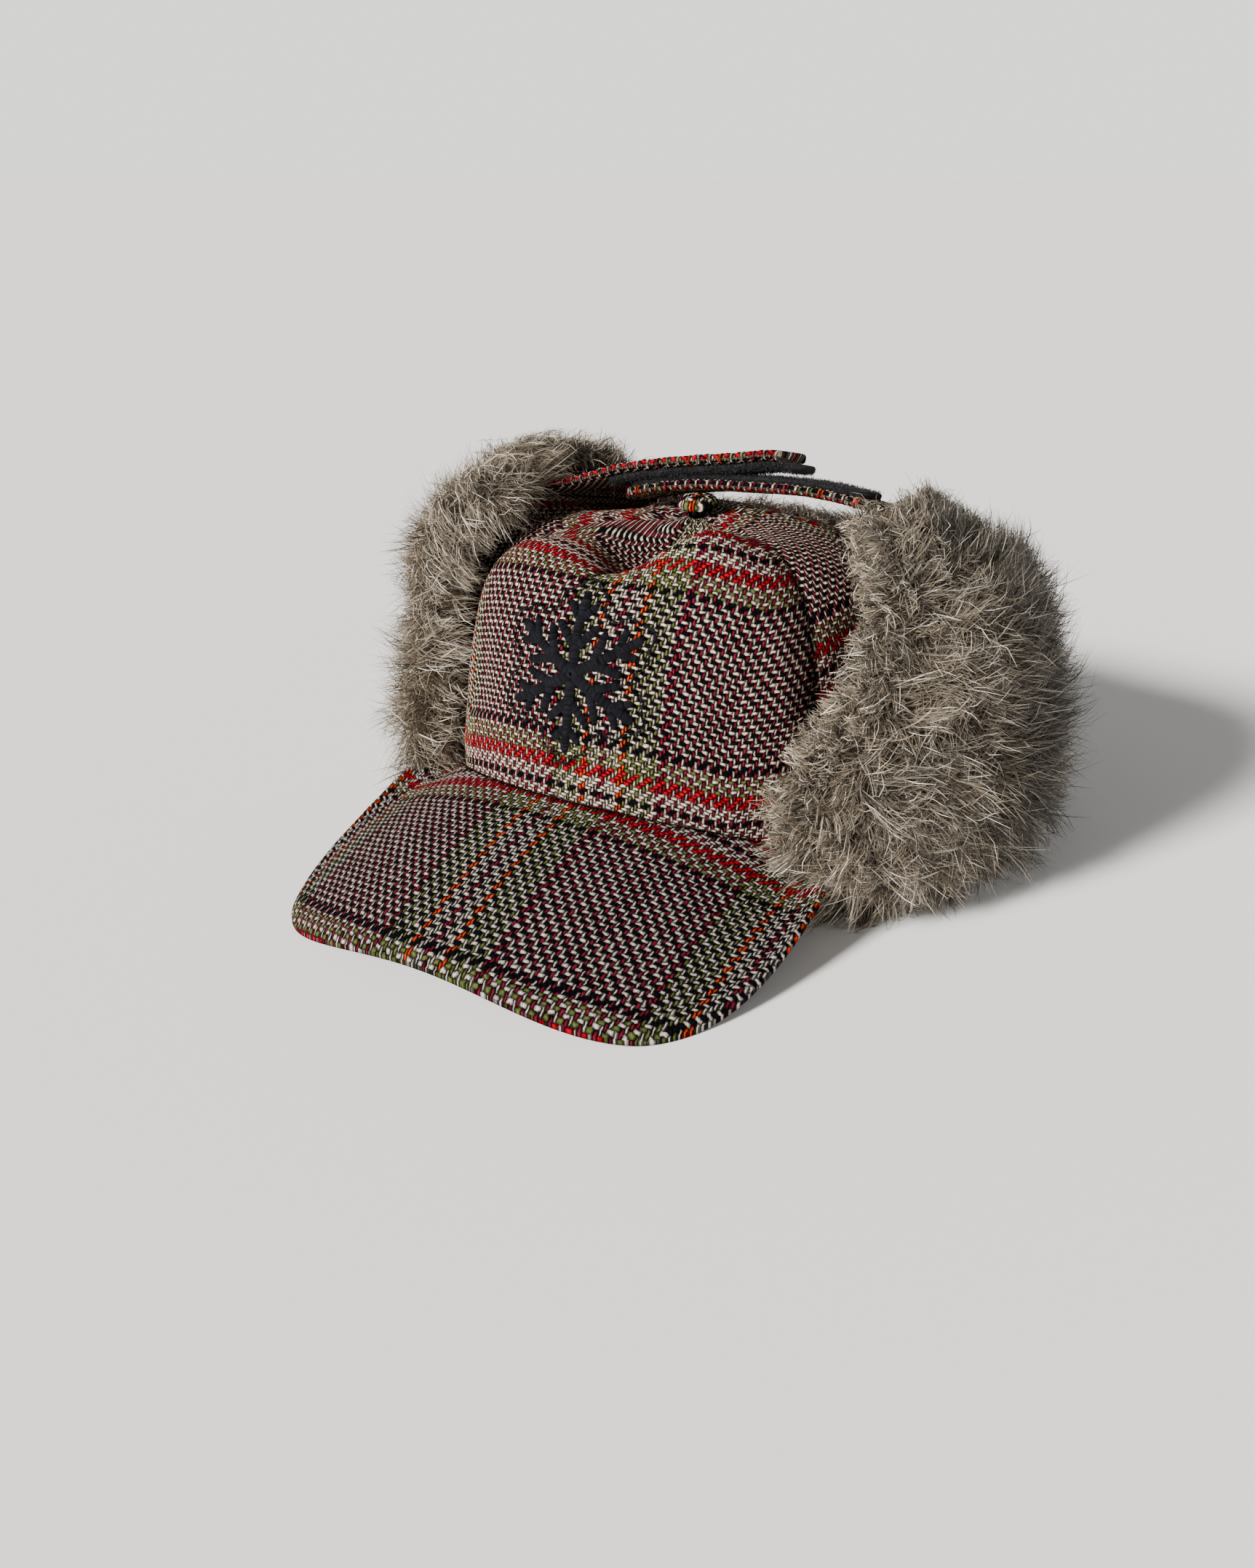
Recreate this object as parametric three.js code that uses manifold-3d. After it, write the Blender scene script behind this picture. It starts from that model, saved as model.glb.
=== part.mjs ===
// A soft peaked cap of chunky plaid tweed: six crown panels, a bent peak, a covered button,
// and fur-lined ear and neck flaps that are folded up and strapped together over the crown.
// Millimetres, +Z up, the peak points along -Y, and the origin is under the middle of the cap.
import * as THREE from 'three';
import { mergeVertices } from 'three/addons/utils/BufferGeometryUtils.js';
import Module from 'manifold-3d';

const wasm = await Module();
wasm.setup();

// Driving sizes. Heights are measured from the middle of the seam between crown and peak.
const CROWN = {
  halfWidth: 84,
  halfLength: 94.5,
  top: 82,
  sideRim: -28,
  wall: 2,
  frontSquareness: 5,
  backSquareness: 2.7,
  frontLean: 0.15,
  eyelet: 3,
};
const SEAM_GAP = 0.3;
const PANEL_ANGLE = 60;
const PEAK = {
  reach: 73,
  halfWidth: 90,
  rearY: -58,
  squareness: 3.4,
  slope: 20,
  droop: 22.6,
  droopAt: 80,
  seatAngle: 60,
  thickness: 5,
};
const FLAP = {
  wall: 2,
  earTop: 86,
  neckTop: 56,
  frontAngleLow: 60,
  frontAngleMiddle: 72,
  topForward: 10,
  furSplit: 128,
  backFlare: 17,
};
const FUR = { pile: 21, foldPile: 31, lock: 8, lockRadius: 14, spacing: 34 };
const STRAP = { width: 25, thickness: 3, middleY: 8, tiltBack: 12, tapeWidth: 20, tapeThickness: 1.6 };
const BUTTON = { radius: 7.5, height: 7 };
const STAR = { height: 42, radius: 27, relief: 1, lift: 0.6 };

// Materials, one for each finish.
const tweed = new THREE.MeshStandardMaterial({ name: 'plaid_tweed', color: 0x6b5450, roughness: 0.95 });
const fur = new THREE.MeshStandardMaterial({ name: 'fur_pile', color: 0x6e6454, roughness: 0.9 });
const tape = new THREE.MeshStandardMaterial({ name: 'black_tape', color: 0x101012, roughness: 0.9 });
const thread = new THREE.MeshStandardMaterial({ name: 'black_thread', color: 0x15151a, roughness: 0.55 });

const rad = THREE.MathUtils.degToRad;
const bell = (x, middle, width) => Math.exp(-(((x - middle) / width) ** 2));
const blend = (x, from, to) => THREE.MathUtils.smoothstep(x, Math.min(from, to), Math.max(from, to));
const ease = (x, from, to) => (from < to ? blend(x, from, to) : 1 - blend(x, to, from));
const mix = THREE.MathUtils.lerp;

// The bottom edge of the crown arches up over the bent peak and runs level round the back.
function rimHeight(angle) {
  const turn = Math.abs(((angle + 180) % 360) - 180);
  const arch = -46 * (1 - Math.cos(rad(Math.min(turn, 66))));
  return Math.max(arch, CROWN.sideRim);
}

// Soft folds that the cap shows: x and y in plan, depth and spread in millimetres.
const DENTS = [
  { x: 0, y: -33, depth: 17, spreadX: 19, spreadY: 25 },
  { x: -38, y: -34, depth: 7, spreadX: 22, spreadY: 22 },
  { x: 30, y: -12, depth: 3, spreadX: 24, spreadY: 20 },
  { x: 12, y: 48, depth: 5, spreadX: 60, spreadY: 34 },
  { x: -36, y: 8, depth: 5, spreadX: 22, spreadY: 24 },
];
const DIMPLES = [
  { angle: 36, height: 20, depth: 3.2, spreadAngle: 9, spreadHeight: 14 },
  { angle: -34, height: 28, depth: 2, spreadAngle: 10, spreadHeight: 16 },
  { angle: 72, height: 35, depth: 3, spreadAngle: 8, spreadHeight: 25 },
];
const SEAMS = [60, 120, 180, 240, 300];

// Adds the seams' pinch, the dimples in the sides and the dents in the top to a plain dome point.
function soften(angle, radius, height) {
  const turn = ((angle % 360) + 360) % 360;
  let r = radius;
  for (const seam of SEAMS) r -= 2.6 * bell(turn, seam, 7) * Math.min(1, radius / 60);
  for (const d of DIMPLES) {
    const near = Math.abs(((angle - d.angle + 540) % 360) - 180);
    r -= d.depth * bell(near, 0, d.spreadAngle) * bell(height, d.height, d.spreadHeight);
  }
  const x = r * Math.sin(rad(angle));
  const y = -r * Math.cos(rad(angle));
  let z = height;
  for (const d of DENTS) {
    z -= d.depth * bell(x, d.x, d.spreadX) * bell(y, d.y, d.spreadY) * ease(height, 40, 66);
  }
  return new THREE.Vector3(x, y, z);
}

function crownPlan(angle) {
  const back = 0.5 - 0.5 * Math.cos(rad(angle));
  const s = Math.sin(rad(angle)) / CROWN.halfWidth;
  const c = Math.cos(rad(angle)) / CROWN.halfLength;
  return {
    radius: 1 / Math.hypot(s, c),
    power: mix(CROWN.frontSquareness, CROWN.backSquareness, Math.min(1, back * 1.6)),
    lean: CROWN.frontLean * (1 - Math.min(1, back * 1.8)),
  };
}

// A point of the crown's outer face, from the rim (up = 0) to the eyelet under the button (up = 1).
function crownPoint(angle, up) {
  const { radius, power, lean } = crownPlan(angle);
  const rim = rimHeight(angle);
  const wallLength = -rim;
  const domeLength = 150;
  const travelled = up * (wallLength + domeLength) - wallLength;
  if (travelled < 0) return soften(angle, radius, travelled);
  const last = Math.PI / 2 - CROWN.eyelet / CROWN.top;
  const polar = (travelled / domeLength) * last;
  const c = (Math.cos(polar) / radius) ** power;
  const s = (Math.sin(polar) / CROWN.top) ** power;
  const reach = (c + s) ** (-1 / power);
  const height = reach * Math.sin(polar);
  return soften(angle, reach * Math.cos(polar) * (1 - (lean * height) / radius), height);
}

// The highest point of the crown under a disc on its middle.
function crownHighest(radius) {
  let highest = 0;
  for (let angle = 0; angle < 360; angle += 15) {
    for (let up = 0.85; up <= 1; up += 0.01) {
      const p = crownPoint(angle, up);
      if (Math.hypot(p.x, p.y) <= radius) highest = Math.max(highest, p.z);
    }
  }
  return highest;
}

// The crown's face at a known height, for what is sewn on the front.
function crownAtHeight(angle, height) {
  const { radius, power, lean } = crownPlan(angle);
  const k = Math.max(0, height) / CROWN.top;
  return soften(angle, (radius - lean * height) * (1 - k ** power) ** (1 / power), height);
}

// Moves a point of a surface along that surface's own normal.
function lifted(surface, a, b, stepA, stepB, distance) {
  const here = surface(a, b);
  const alongA = surface(a + stepA, b).sub(surface(a - stepA, b));
  const alongB = surface(a, b + stepB).sub(surface(a, b - stepB));
  return here.addScaledVector(alongA.cross(alongB).normalize(), distance);
}

// Closes two matching grids of points into one solid: outer face, inner face and four borders.
function slab(outer, inner) {
  const rows = outer.length;
  const columns = outer[0].length;
  const points = [...outer.flat(), ...inner.flat()];
  const at = (layer, i, j) => layer * rows * columns + i * columns + j;
  const faces = [];
  const quad = (a, b, c, d) => faces.push(a, b, c, a, c, d);
  for (let i = 0; i < rows - 1; i++) {
    for (let j = 0; j < columns - 1; j++) {
      quad(at(0, i, j), at(0, i + 1, j), at(0, i + 1, j + 1), at(0, i, j + 1));
      quad(at(1, i, j), at(1, i, j + 1), at(1, i + 1, j + 1), at(1, i + 1, j));
    }
  }
  for (let i = 0; i < rows - 1; i++) {
    quad(at(0, i, 0), at(1, i, 0), at(1, i + 1, 0), at(0, i + 1, 0));
    quad(at(0, i, columns - 1), at(0, i + 1, columns - 1), at(1, i + 1, columns - 1), at(1, i, columns - 1));
  }
  for (let j = 0; j < columns - 1; j++) {
    quad(at(0, 0, j), at(0, 0, j + 1), at(1, 0, j + 1), at(1, 0, j));
    quad(at(0, rows - 1, j), at(1, rows - 1, j), at(1, rows - 1, j + 1), at(0, rows - 1, j + 1));
  }
  const geometry = new THREE.BufferGeometry();
  geometry.setAttribute('position', new THREE.Float32BufferAttribute(points.flatMap((p) => [p.x, p.y, p.z]), 3));
  geometry.setIndex(faces);
  return facingOut(geometry);
}

// Turns a closed geometry's faces round if it was wound inside out.
function facingOut(geometry) {
  const p = geometry.getAttribute('position');
  const index = geometry.getIndex().array;
  const [a, b, c] = [new THREE.Vector3(), new THREE.Vector3(), new THREE.Vector3()];
  let volume = 0;
  for (let i = 0; i < index.length; i += 3) {
    a.fromBufferAttribute(p, index[i]);
    b.fromBufferAttribute(p, index[i + 1]);
    c.fromBufferAttribute(p, index[i + 2]);
    volume += a.dot(b.cross(c));
  }
  if (volume < 0) {
    for (let i = 0; i < index.length; i += 3) [index[i], index[i + 1]] = [index[i + 1], index[i]];
  }
  return geometry;
}

// three.js geometry to a solid that can be joined and cut, and back.
function toSolid(geometry) {
  const bare = geometry.clone();
  bare.deleteAttribute('normal');
  bare.deleteAttribute('uv');
  const merged = mergeVertices(bare, 1e-4);
  return new wasm.Manifold(new wasm.Mesh({
    numProp: 3,
    vertProperties: Float32Array.from(merged.getAttribute('position').array),
    triVerts: Uint32Array.from(merged.getIndex().array),
  }));
}

function toGeometry(solid) {
  const mesh = solid.getMesh();
  const geometry = new THREE.BufferGeometry();
  geometry.setAttribute('position', new THREE.BufferAttribute(Float32Array.from(mesh.vertProperties), 3));
  geometry.setIndex(new THREE.BufferAttribute(Uint32Array.from(mesh.triVerts), 1));
  return geometry;
}

// The largest of the bodies that a cut leaves.
function biggest(solid) {
  return toGeometry(solid.decompose().reduce((a, b) => (a.volume() > b.volume() ? a : b)));
}

// A repeatable stream of numbers from 0 to 1.
function numbers(seed) {
  let state = seed;
  return () => {
    state = (state * 1664525 + 1013904223) % 4294967296;
    return state / 4294967296;
  };
}

// One crown panel between two seams.
function crownPanel(from, to) {
  const columns = 9;
  const rows = 13;
  const face = (distance) => Array.from({ length: rows + 1 }, (_, i) => {
    const up = i / rows;
    return Array.from({ length: columns + 1 }, (_, j) => {
      const seamGap = (angle) => {
        const p = crownPoint(angle, up);
        return THREE.MathUtils.radToDeg((SEAM_GAP / 2) / Math.hypot(p.x, p.y));
      };
      const angle = mix(from + seamGap(from), to - seamGap(to), j / columns);
      return lifted(crownPoint, angle, Math.min(up, 0.995), 0.5, 0.004, distance);
    });
  });
  return slab(face(0), face(-CROWN.wall));
}

// The peak is lofted from the crown's front rim to its own front edge and has a rounded lip.
function peakEdge(turn) {
  const e = 2 / PEAK.squareness;
  const s = Math.sin(rad(turn));
  const x = PEAK.halfWidth * Math.sign(s) * Math.abs(s) ** e;
  const front = CROWN.halfLength + PEAK.reach + PEAK.rearY;
  const y = PEAK.rearY - front * Math.cos(rad(turn)) ** e;
  const ahead = -y - CROWN.halfLength;
  const z = -PEAK.droop * (x / PEAK.droopAt) ** 2 - ahead * Math.tan(rad(PEAK.slope));
  return new THREE.Vector3(x, y, z);
}

function peakPoint(side, out) {
  const root = crownPoint(side * PEAK.seatAngle, 0);
  const gap = 1 + (1.3 * SEAM_GAP) / Math.hypot(root.x, root.y);
  root.multiply(new THREE.Vector3(gap, gap, 1));
  const turn = 90 * Math.sign(side) * Math.abs(side) ** 1.15;
  const edge = peakEdge(turn);
  const point = root.clone().lerp(edge, out);
  point.z += 3.5 * Math.sin(Math.PI * out) * (1 - side * side);
  return point;
}

function peak(grown = 0) {
  const columns = 26;
  const steps = [0, 0.16, 0.34, 0.52, 0.7, 0.85, 0.96, 1];
  const half = PEAK.thickness / 2;
  const face = (sign) => Array.from({ length: columns + 1 }, (_, i) => {
    const side = mix(-0.985, 0.985, i / columns);
    return steps.map((out) => {
      const rounding = Math.sqrt(Math.max(0.12, 1 - ease(out, 0.9, 1) ** 2));
      const centre = peakPoint(side, out + 0.02 * grown);
      centre.z -= half;
      return centre.add(new THREE.Vector3(0, 0, sign * (half * rounding + grown)));
    });
  });
  return slab(face(1), face(-1));
}

// The folded-up flap's cloth: it leaves the rim's underside, turns up and climbs outside the crown.
const FLAP_SECTION = [
  { rise: 0, out: -1.2, height: -28.62 },
  { rise: 0.05, out: 4, height: -31.2 },
  { rise: 0.1, out: 8.6, height: -26 },
  { rise: 0.3, out: 12, height: 0 },
  { rise: 0.6, out: 13, height: 38 },
  { rise: 0.85, out: 6, height: 68 },
  { rise: 1, out: -1, height: 86 },
];

function flapPoint(angle, rise) {
  const turn = Math.abs(angle);
  const last = FLAP_SECTION.length - 2;
  let k = FLAP_SECTION.findIndex((row, i) => i === last || rise < FLAP_SECTION[i + 1].rise);
  k = Math.min(k, last);
  const [low, high] = [FLAP_SECTION[k], FLAP_SECTION[k + 1]];
  const f = (rise - low.rise) / (high.rise - low.rise);
  const topHeight = mix(FLAP.neckTop, FLAP.earTop, ease(turn, 163, 102));
  const plain = mix(low.height, high.height, f);
  const height = plain < 0 ? plain : plain * (topHeight / FLAP.earTop);
  const flare = FLAP.backFlare * bell(turn, 122, 36) * blend(rise, 0, 0.14) * (1 - 0.6 * blend(rise, 0.35, 1));
  const out = mix(low.out, high.out, f) + flare;
  const { radius } = crownPlan(angle);
  const r = radius + out;
  return new THREE.Vector3(r * Math.sin(rad(angle)), -r * Math.cos(rad(angle)), height);
}

function flapFront(rise) {
  return mix(FLAP.frontAngleLow, FLAP.frontAngleMiddle, blend(rise, 0.05, 0.4)) - FLAP.topForward * blend(rise, 0.6, 1);
}

// The layer of the folded flap between two distances from the middle of its cloth. A grown
// layer also reaches a little past the cloth's edges.
function flapLayer(outer, inner, grown = 0) {
  const columns = 32;
  const rises = [0, 0.05, 0.1, 0.2, 0.32, 0.5, 0.68, 0.85, 1];
  if (grown > 0) rises.unshift(-0.02 * grown);
  if (grown > 0) rises.push(1 + 0.02 * grown);
  const face = (distance) => rises.map((rise) => Array.from({ length: columns + 1 }, (_, j) => {
    const start = flapFront(rise) - 0.4 * grown;
    return onFlap(mix(start, 360 - start, j / columns), rise, distance);
  }));
  return slab(face(outer), face(inner));
}

// A point at a distance outside the flap's middle face; the two sides mirror each other.
function onFlap(angle, rise, distance) {
  const folded = angle > 180 ? 360 - angle : angle;
  const p = lifted(flapPoint, folded, rise, 0.5, 0.004, distance);
  if (angle > 180) p.x = -p.x;
  return p;
}

// One lock of fur: a bent five-sided cone whose root is buried in the pile.
function lock(root, outward, comb, length, radius) {
  const sides = 5;
  const axis = outward.clone().addScaledVector(comb, 0.5).normalize();
  const bent = outward.clone().addScaledVector(comb, 2).normalize();
  const across = new THREE.Vector3().crossVectors(axis, new THREE.Vector3(0.3, 0.2, 1)).normalize();
  const other = new THREE.Vector3().crossVectors(axis, across);
  const knee = root.clone().addScaledVector(axis, length * 0.45);
  const tip = knee.clone().addScaledVector(bent, length * 0.65);
  const ring = (centre, size) => Array.from({ length: sides }, (_, i) => {
    const turn = (i / sides) * 2 * Math.PI;
    return centre.clone()
      .addScaledVector(across, size * Math.cos(turn))
      .addScaledVector(other, size * Math.sin(turn));
  });
  const points = [...ring(root, radius), ...ring(knee, radius * 0.72), tip];
  const faces = [];
  for (let i = 0; i < sides; i++) {
    const n = (i + 1) % sides;
    faces.push(i, n, sides + n, i, sides + n, sides + i, sides + i, sides + n, 2 * sides);
    if (i > 0 && i < sides - 1) faces.push(0, i + 1, i);
  }
  const geometry = new THREE.BufferGeometry();
  geometry.setAttribute('position', new THREE.Float32BufferAttribute(points.flatMap((p) => [p.x, p.y, p.z]), 3));
  geometry.setIndex(faces);
  return facingOut(geometry);
}

// The pile stands on the outside of the folded cloth: a thick rounded bed with locks fused to it.
function furBody(from, to, forward, seed, floor) {
  const random = numbers(seed);
  const columns = 9;
  const rises = [0.015, 0.06, 0.12, 0.26, 0.48, 0.72, 0.9, 1];
  const foot = FLAP.wall / 4;
  const span = (rise) => {
    const front = flapFront(rise) - forward * bell(rise, 0.26, 0.16);
    return [from < 100 ? front : from, to > 260 ? 360 - front : to];
  };
  const depth = (a, rise) => {
    const open = (from < 100 ? ease(a, 0, 0.12) : 1) * (to > 260 ? ease(a, 1, 0.88) : 1);
    const pile = mix(FUR.foldPile, FUR.pile, blend(rise, 0.1, 0.5));
    return pile * Math.sqrt(Math.max(0.1, open)) * (1 - 0.5 * blend(rise, 0.7, 1)) * mix(0.4, 1, blend(rise, 0, 0.1));
  };
  const face = (outer) => rises.map((rise) => Array.from({ length: columns + 1 }, (_, j) => {
    const [start, end] = span(rise);
    const a = j / columns;
    return onFlap(mix(start, end, a), rise, outer ? foot + depth(a, rise) : foot);
  }));
  let body = toSolid(slab(face(true), face(false)));
  const [left, right] = span(0.5);
  const across = Math.round((rad(right - left) * 112) / FUR.spacing);
  const up = 4;
  for (let i = 0; i <= up; i++) {
    for (let j = 0; j <= across; j++) {
      const rise = Math.min(0.97, Math.max(0.04, (i + 0.3 * random()) / up));
      const [start, end] = span(rise);
      const a = Math.min(0.985, Math.max(0.015, (j + 0.5 * (i % 2) + 0.4 * random() - 0.3) / across));
      const angle = mix(start, end, a);
      const root = onFlap(angle, rise, foot + 0.5 * depth(a, rise) + 1.5);
      const outward = onFlap(angle, rise, 30).sub(onFlap(angle, rise, 20)).normalize();
      const along = onFlap(angle + 1, rise, 20).sub(onFlap(angle - 1, rise, 20)).normalize();
      const edgeComb = (from < 100 ? -ease(a, 0.25, 0) : 0) + (to > 260 ? ease(a, 0.75, 1) : 0);
      const comb = along.multiplyScalar(edgeComb * 1.2 + 0.5 * (random() - 0.5));
      comb.z += mix(-0.5, 0.45, ease(rise, 0.25, 1)) + 0.3 * (random() - 0.5);
      const length = FUR.lock * (0.8 + 0.4 * random()) + 0.5 * depth(a, rise);
      const radius = FUR.lockRadius * (0.85 + 0.3 * random()) * Math.min(1, depth(a, rise) / 10);
      body = body.add(toSolid(lock(root, outward, comb, length, radius)));
    }
  }
  const side = (angle) => [Math.cos(rad(angle)), Math.sin(rad(angle)), 0];
  body = body.subtract(toSolid(flapLayer(FLAP.wall / 2 + SEAM_GAP, -2, 1)));
  body = body.subtract(toSolid(peak(SEAM_GAP))).trimByPlane([0, 0, 1], floor);
  if (from > 0) body = body.trimByPlane(side(from), SEAM_GAP / 2);
  if (to < 360) body = body.trimByPlane(side(to).map((v) => -v), SEAM_GAP / 2);
  return biggest(body);
}

// A flat strap or tape along a route of stations, each with its place across and its height.
function ribbon(stations, from, to, width, thickness, lift, roundEnd) {
  const curve = new THREE.CatmullRomCurve3(stations.map((s) => new THREE.Vector3(s.x, 0, s.height)));
  const steps = 16;
  const rows = [0, 1];
  const face = (sign) => Array.from({ length: steps + 1 }, (_, i) => {
    const f = mix(from, to, roundEnd ? 1 - (1 - i / steps) ** 1.5 : i / steps);
    const p = curve.getPoint(f);
    const t = curve.getTangent(f);
    const across = new THREE.Vector3(0, Math.cos(rad(STRAP.tiltBack)), -Math.sin(rad(STRAP.tiltBack)));
    const normal = new THREE.Vector3().crossVectors(t, across).normalize();
    if (normal.z < 0) normal.negate();
    const fromEnd = (to - f) * curve.getLength();
    const w = roundEnd && fromEnd < width / 2
      ? Math.sqrt(Math.max(0.02, 1 - (1 - fromEnd / (width / 2)) ** 2)) : 1;
    const middle = new THREE.Vector3(p.x, STRAP.middleY, p.z).addScaledVector(normal, lift + (sign * thickness) / 2);
    return rows.map((r) => middle.clone().addScaledVector(across, (r - 0.5) * width * w));
  });
  const clear = toSolid(flapLayer(FLAP.wall / 2 + SEAM_GAP, -FLAP.wall / 2 - SEAM_GAP, 1));
  return biggest(toSolid(slab(face(1), face(-1))).subtract(clear));
}

const LOWER_STRAP = [
  { x: 90, height: 81 },
  { x: 70, height: 86 },
  { x: 45, height: 89.6 },
  { x: 15, height: 88.6 },
  { x: 0, height: 87.8 },
  { x: -15, height: 85.6 },
  { x: -34, height: 82 },
];
const UPPER_STRAP = [
  { x: -92, height: 76 },
  { x: -70, height: 74 },
  { x: -55, height: 79 },
  { x: -34, height: 89.8 },
  { x: -15, height: 93.4 },
  { x: 0, height: 95.3 },
  { x: 16, height: 97.4 },
  { x: 28, height: 99.6 },
  { x: 38, height: 99.4 },
];

// The covered button caps the point where the six panels meet.
function button() {
  const seat = 0.4;
  const outline = [
    [0, seat],
    [BUTTON.radius * 0.9, seat],
    [BUTTON.radius, seat + 1.4],
    [BUTTON.radius * 0.97, seat + 3.2],
    [BUTTON.radius * 0.8, seat + 5.2],
    [BUTTON.radius * 0.45, seat + 6.6],
    [0, seat + BUTTON.height],
  ].map(([r, h]) => new THREE.Vector2(r, h));
  const geometry = new THREE.LatheGeometry(outline, 14);
  geometry.rotateX(Math.PI / 2);
  return geometry;
}

// Half of one arm's outline: distance along the arm and to its side, for a radius of 28.
const ARM_OUTLINE = [
  { along: 3.4, aside: 2 },
  { along: 9.5, aside: 1.8 },
  { along: 14.5, aside: 7.8 },
  { along: 17, aside: 6 },
  { along: 13.6, aside: 1.7 },
  { along: 18.6, aside: 1.6 },
  { along: 21.8, aside: 5.6 },
  { along: 24, aside: 4 },
  { along: 22, aside: 1.5 },
  { along: 27, aside: 1.3 },
  { along: 28, aside: 0 },
];

// A raised six-armed star of thread, sewn on the front of the crown over its middle seam.
function star() {
  const outline = [];
  const size = STAR.radius / 28;
  for (let arm = 0; arm < 6; arm++) {
    const turn = rad(90 + 60 * arm);
    const left = ARM_OUTLINE.map((p) => [p.along, -p.aside]);
    const right = ARM_OUTLINE.slice(0, -1).reverse().map((p) => [p.along, p.aside]);
    for (const [along, aside] of [...left, ...right]) {
      const x = along * Math.cos(turn) - aside * Math.sin(turn);
      const y = along * Math.sin(turn) + aside * Math.cos(turn);
      outline.push(new THREE.Vector2(x * size, y * size));
    }
  }
  const geometry = new THREE.ExtrudeGeometry(new THREE.Shape(outline), { depth: STAR.relief, bevelEnabled: false });
  const onFront = (x, rise) => {
    const height = STAR.height + rise;
    const middle = crownAtHeight(0, height);
    return crownAtHeight(THREE.MathUtils.radToDeg(Math.asin(x / -middle.y)), height);
  };
  const p = geometry.getAttribute('position');
  for (let i = 0; i < p.count; i++) {
    const sewn = lifted(onFront, p.getX(i), p.getY(i), 0.5, 0.5, STAR.lift + p.getZ(i));
    p.setXYZ(i, sewn.x, sewn.y, sewn.z);
  }
  return geometry;
}

const cap = new THREE.Group();
function piece(name, geometry, material, position = [0, 0, 0]) {
  const mesh = new THREE.Mesh(geometry, material);
  mesh.name = name;
  mesh.position.set(...position);
  cap.add(mesh);
  return mesh;
}

const PANELS = ['front_left', 'side_left', 'back_left', 'back_right', 'side_right', 'front_right'];
PANELS.forEach((place, i) => {
  piece(`crown_panel_${place}`, crownPanel(i * PANEL_ANGLE, (i + 1) * PANEL_ANGLE), tweed);
});

const peakMesh = piece('peak', peak(), tweed);
peakMesh.geometry.computeBoundingBox();
const floor = peakMesh.geometry.boundingBox.min.z;

piece('flap_cloth', flapLayer(FLAP.wall / 2, -FLAP.wall / 2), tweed);
piece('flap_fur_left', furBody(0, FLAP.furSplit, 10, 11, floor), fur);
piece('flap_fur_neck', furBody(FLAP.furSplit, 360 - FLAP.furSplit, 0, 23, floor), fur);
piece('flap_fur_right', furBody(360 - FLAP.furSplit, 360, 3, 37, floor), fur);

piece('top_button', button(), tweed, [0, 0, crownHighest(BUTTON.radius)]);

const tapeLift = (STRAP.thickness + STRAP.tapeThickness) / 2 + SEAM_GAP;
const { width, thickness, tapeWidth, tapeThickness } = STRAP;
piece('strap_lower', ribbon(LOWER_STRAP, 0, 1, width, thickness, 0, true), tweed);
piece('strap_upper', ribbon(UPPER_STRAP, 0, 0.93, width, thickness, 0, false), tweed);
piece('tape_loop', ribbon(LOWER_STRAP, 0.22, 0.98, tapeWidth, tapeThickness, tapeLift, true), tape);
piece('tape_hook', ribbon(UPPER_STRAP, 0.35, 1, tapeWidth, tapeThickness, -tapeLift, false), tape);
piece('front_star', star(), thread);

// The cap stands on the peak's corners and on the fur, with the origin under its middle.
const box = new THREE.Box3().setFromObject(cap);
cap.position.set(-(box.min.x + box.max.x) / 2, -(box.min.y + box.max.y) / 2, -floor);
cap.updateMatrixWorld(true);

export default cap;
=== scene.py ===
"""A plaid peaked cap with fur-lined flaps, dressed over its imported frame.

Sizes in the shape functions are millimetres from the middle of the seam between crown and
peak, as the cap's maker would measure them. Meshes are written in metres in the row frame.
"""
import math

import bpy
import numpy as np
from bpy.props import FloatProperty, FloatVectorProperty, IntProperty, PointerProperty
from mathutils import Matrix, Vector


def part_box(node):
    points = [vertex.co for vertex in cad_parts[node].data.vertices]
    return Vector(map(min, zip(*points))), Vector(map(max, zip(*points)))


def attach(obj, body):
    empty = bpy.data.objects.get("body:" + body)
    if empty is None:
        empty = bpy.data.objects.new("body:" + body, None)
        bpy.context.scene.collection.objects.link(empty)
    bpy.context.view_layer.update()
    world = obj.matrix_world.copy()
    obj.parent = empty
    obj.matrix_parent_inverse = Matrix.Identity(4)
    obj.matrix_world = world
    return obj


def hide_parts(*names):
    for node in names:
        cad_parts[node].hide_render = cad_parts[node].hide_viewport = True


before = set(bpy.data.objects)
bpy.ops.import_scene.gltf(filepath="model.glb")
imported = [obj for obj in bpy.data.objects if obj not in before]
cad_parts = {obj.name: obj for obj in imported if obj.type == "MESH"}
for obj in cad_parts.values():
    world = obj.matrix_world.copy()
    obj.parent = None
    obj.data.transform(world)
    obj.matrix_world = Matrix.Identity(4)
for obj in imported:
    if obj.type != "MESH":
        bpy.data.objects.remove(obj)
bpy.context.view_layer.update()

bl_info = {
    "name": "Fur-lined plaid cap",
    "version": (1, 0, 0),
    "blender": (4, 5, 0),
    "location": "View3D > Sidebar > Cap",
    "description": "Builds a plaid peaked cap with fur-lined flaps over its packed frame",
    "category": "Object",
}

MM = 0.001
BODY = "root"


def frame_origin():
    """The middle of the seam between crown and peak, in the row frame, in metres."""
    button_low, button_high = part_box("top_button")
    _, peak_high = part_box("peak")
    return np.array([
        (button_low[0] + button_high[0]) / 2,
        (button_low[1] + button_high[1]) / 2,
        peak_high[2],
    ])


ORIGIN = frame_origin()
FLOOR = -ORIGIN[2] / MM

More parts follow.
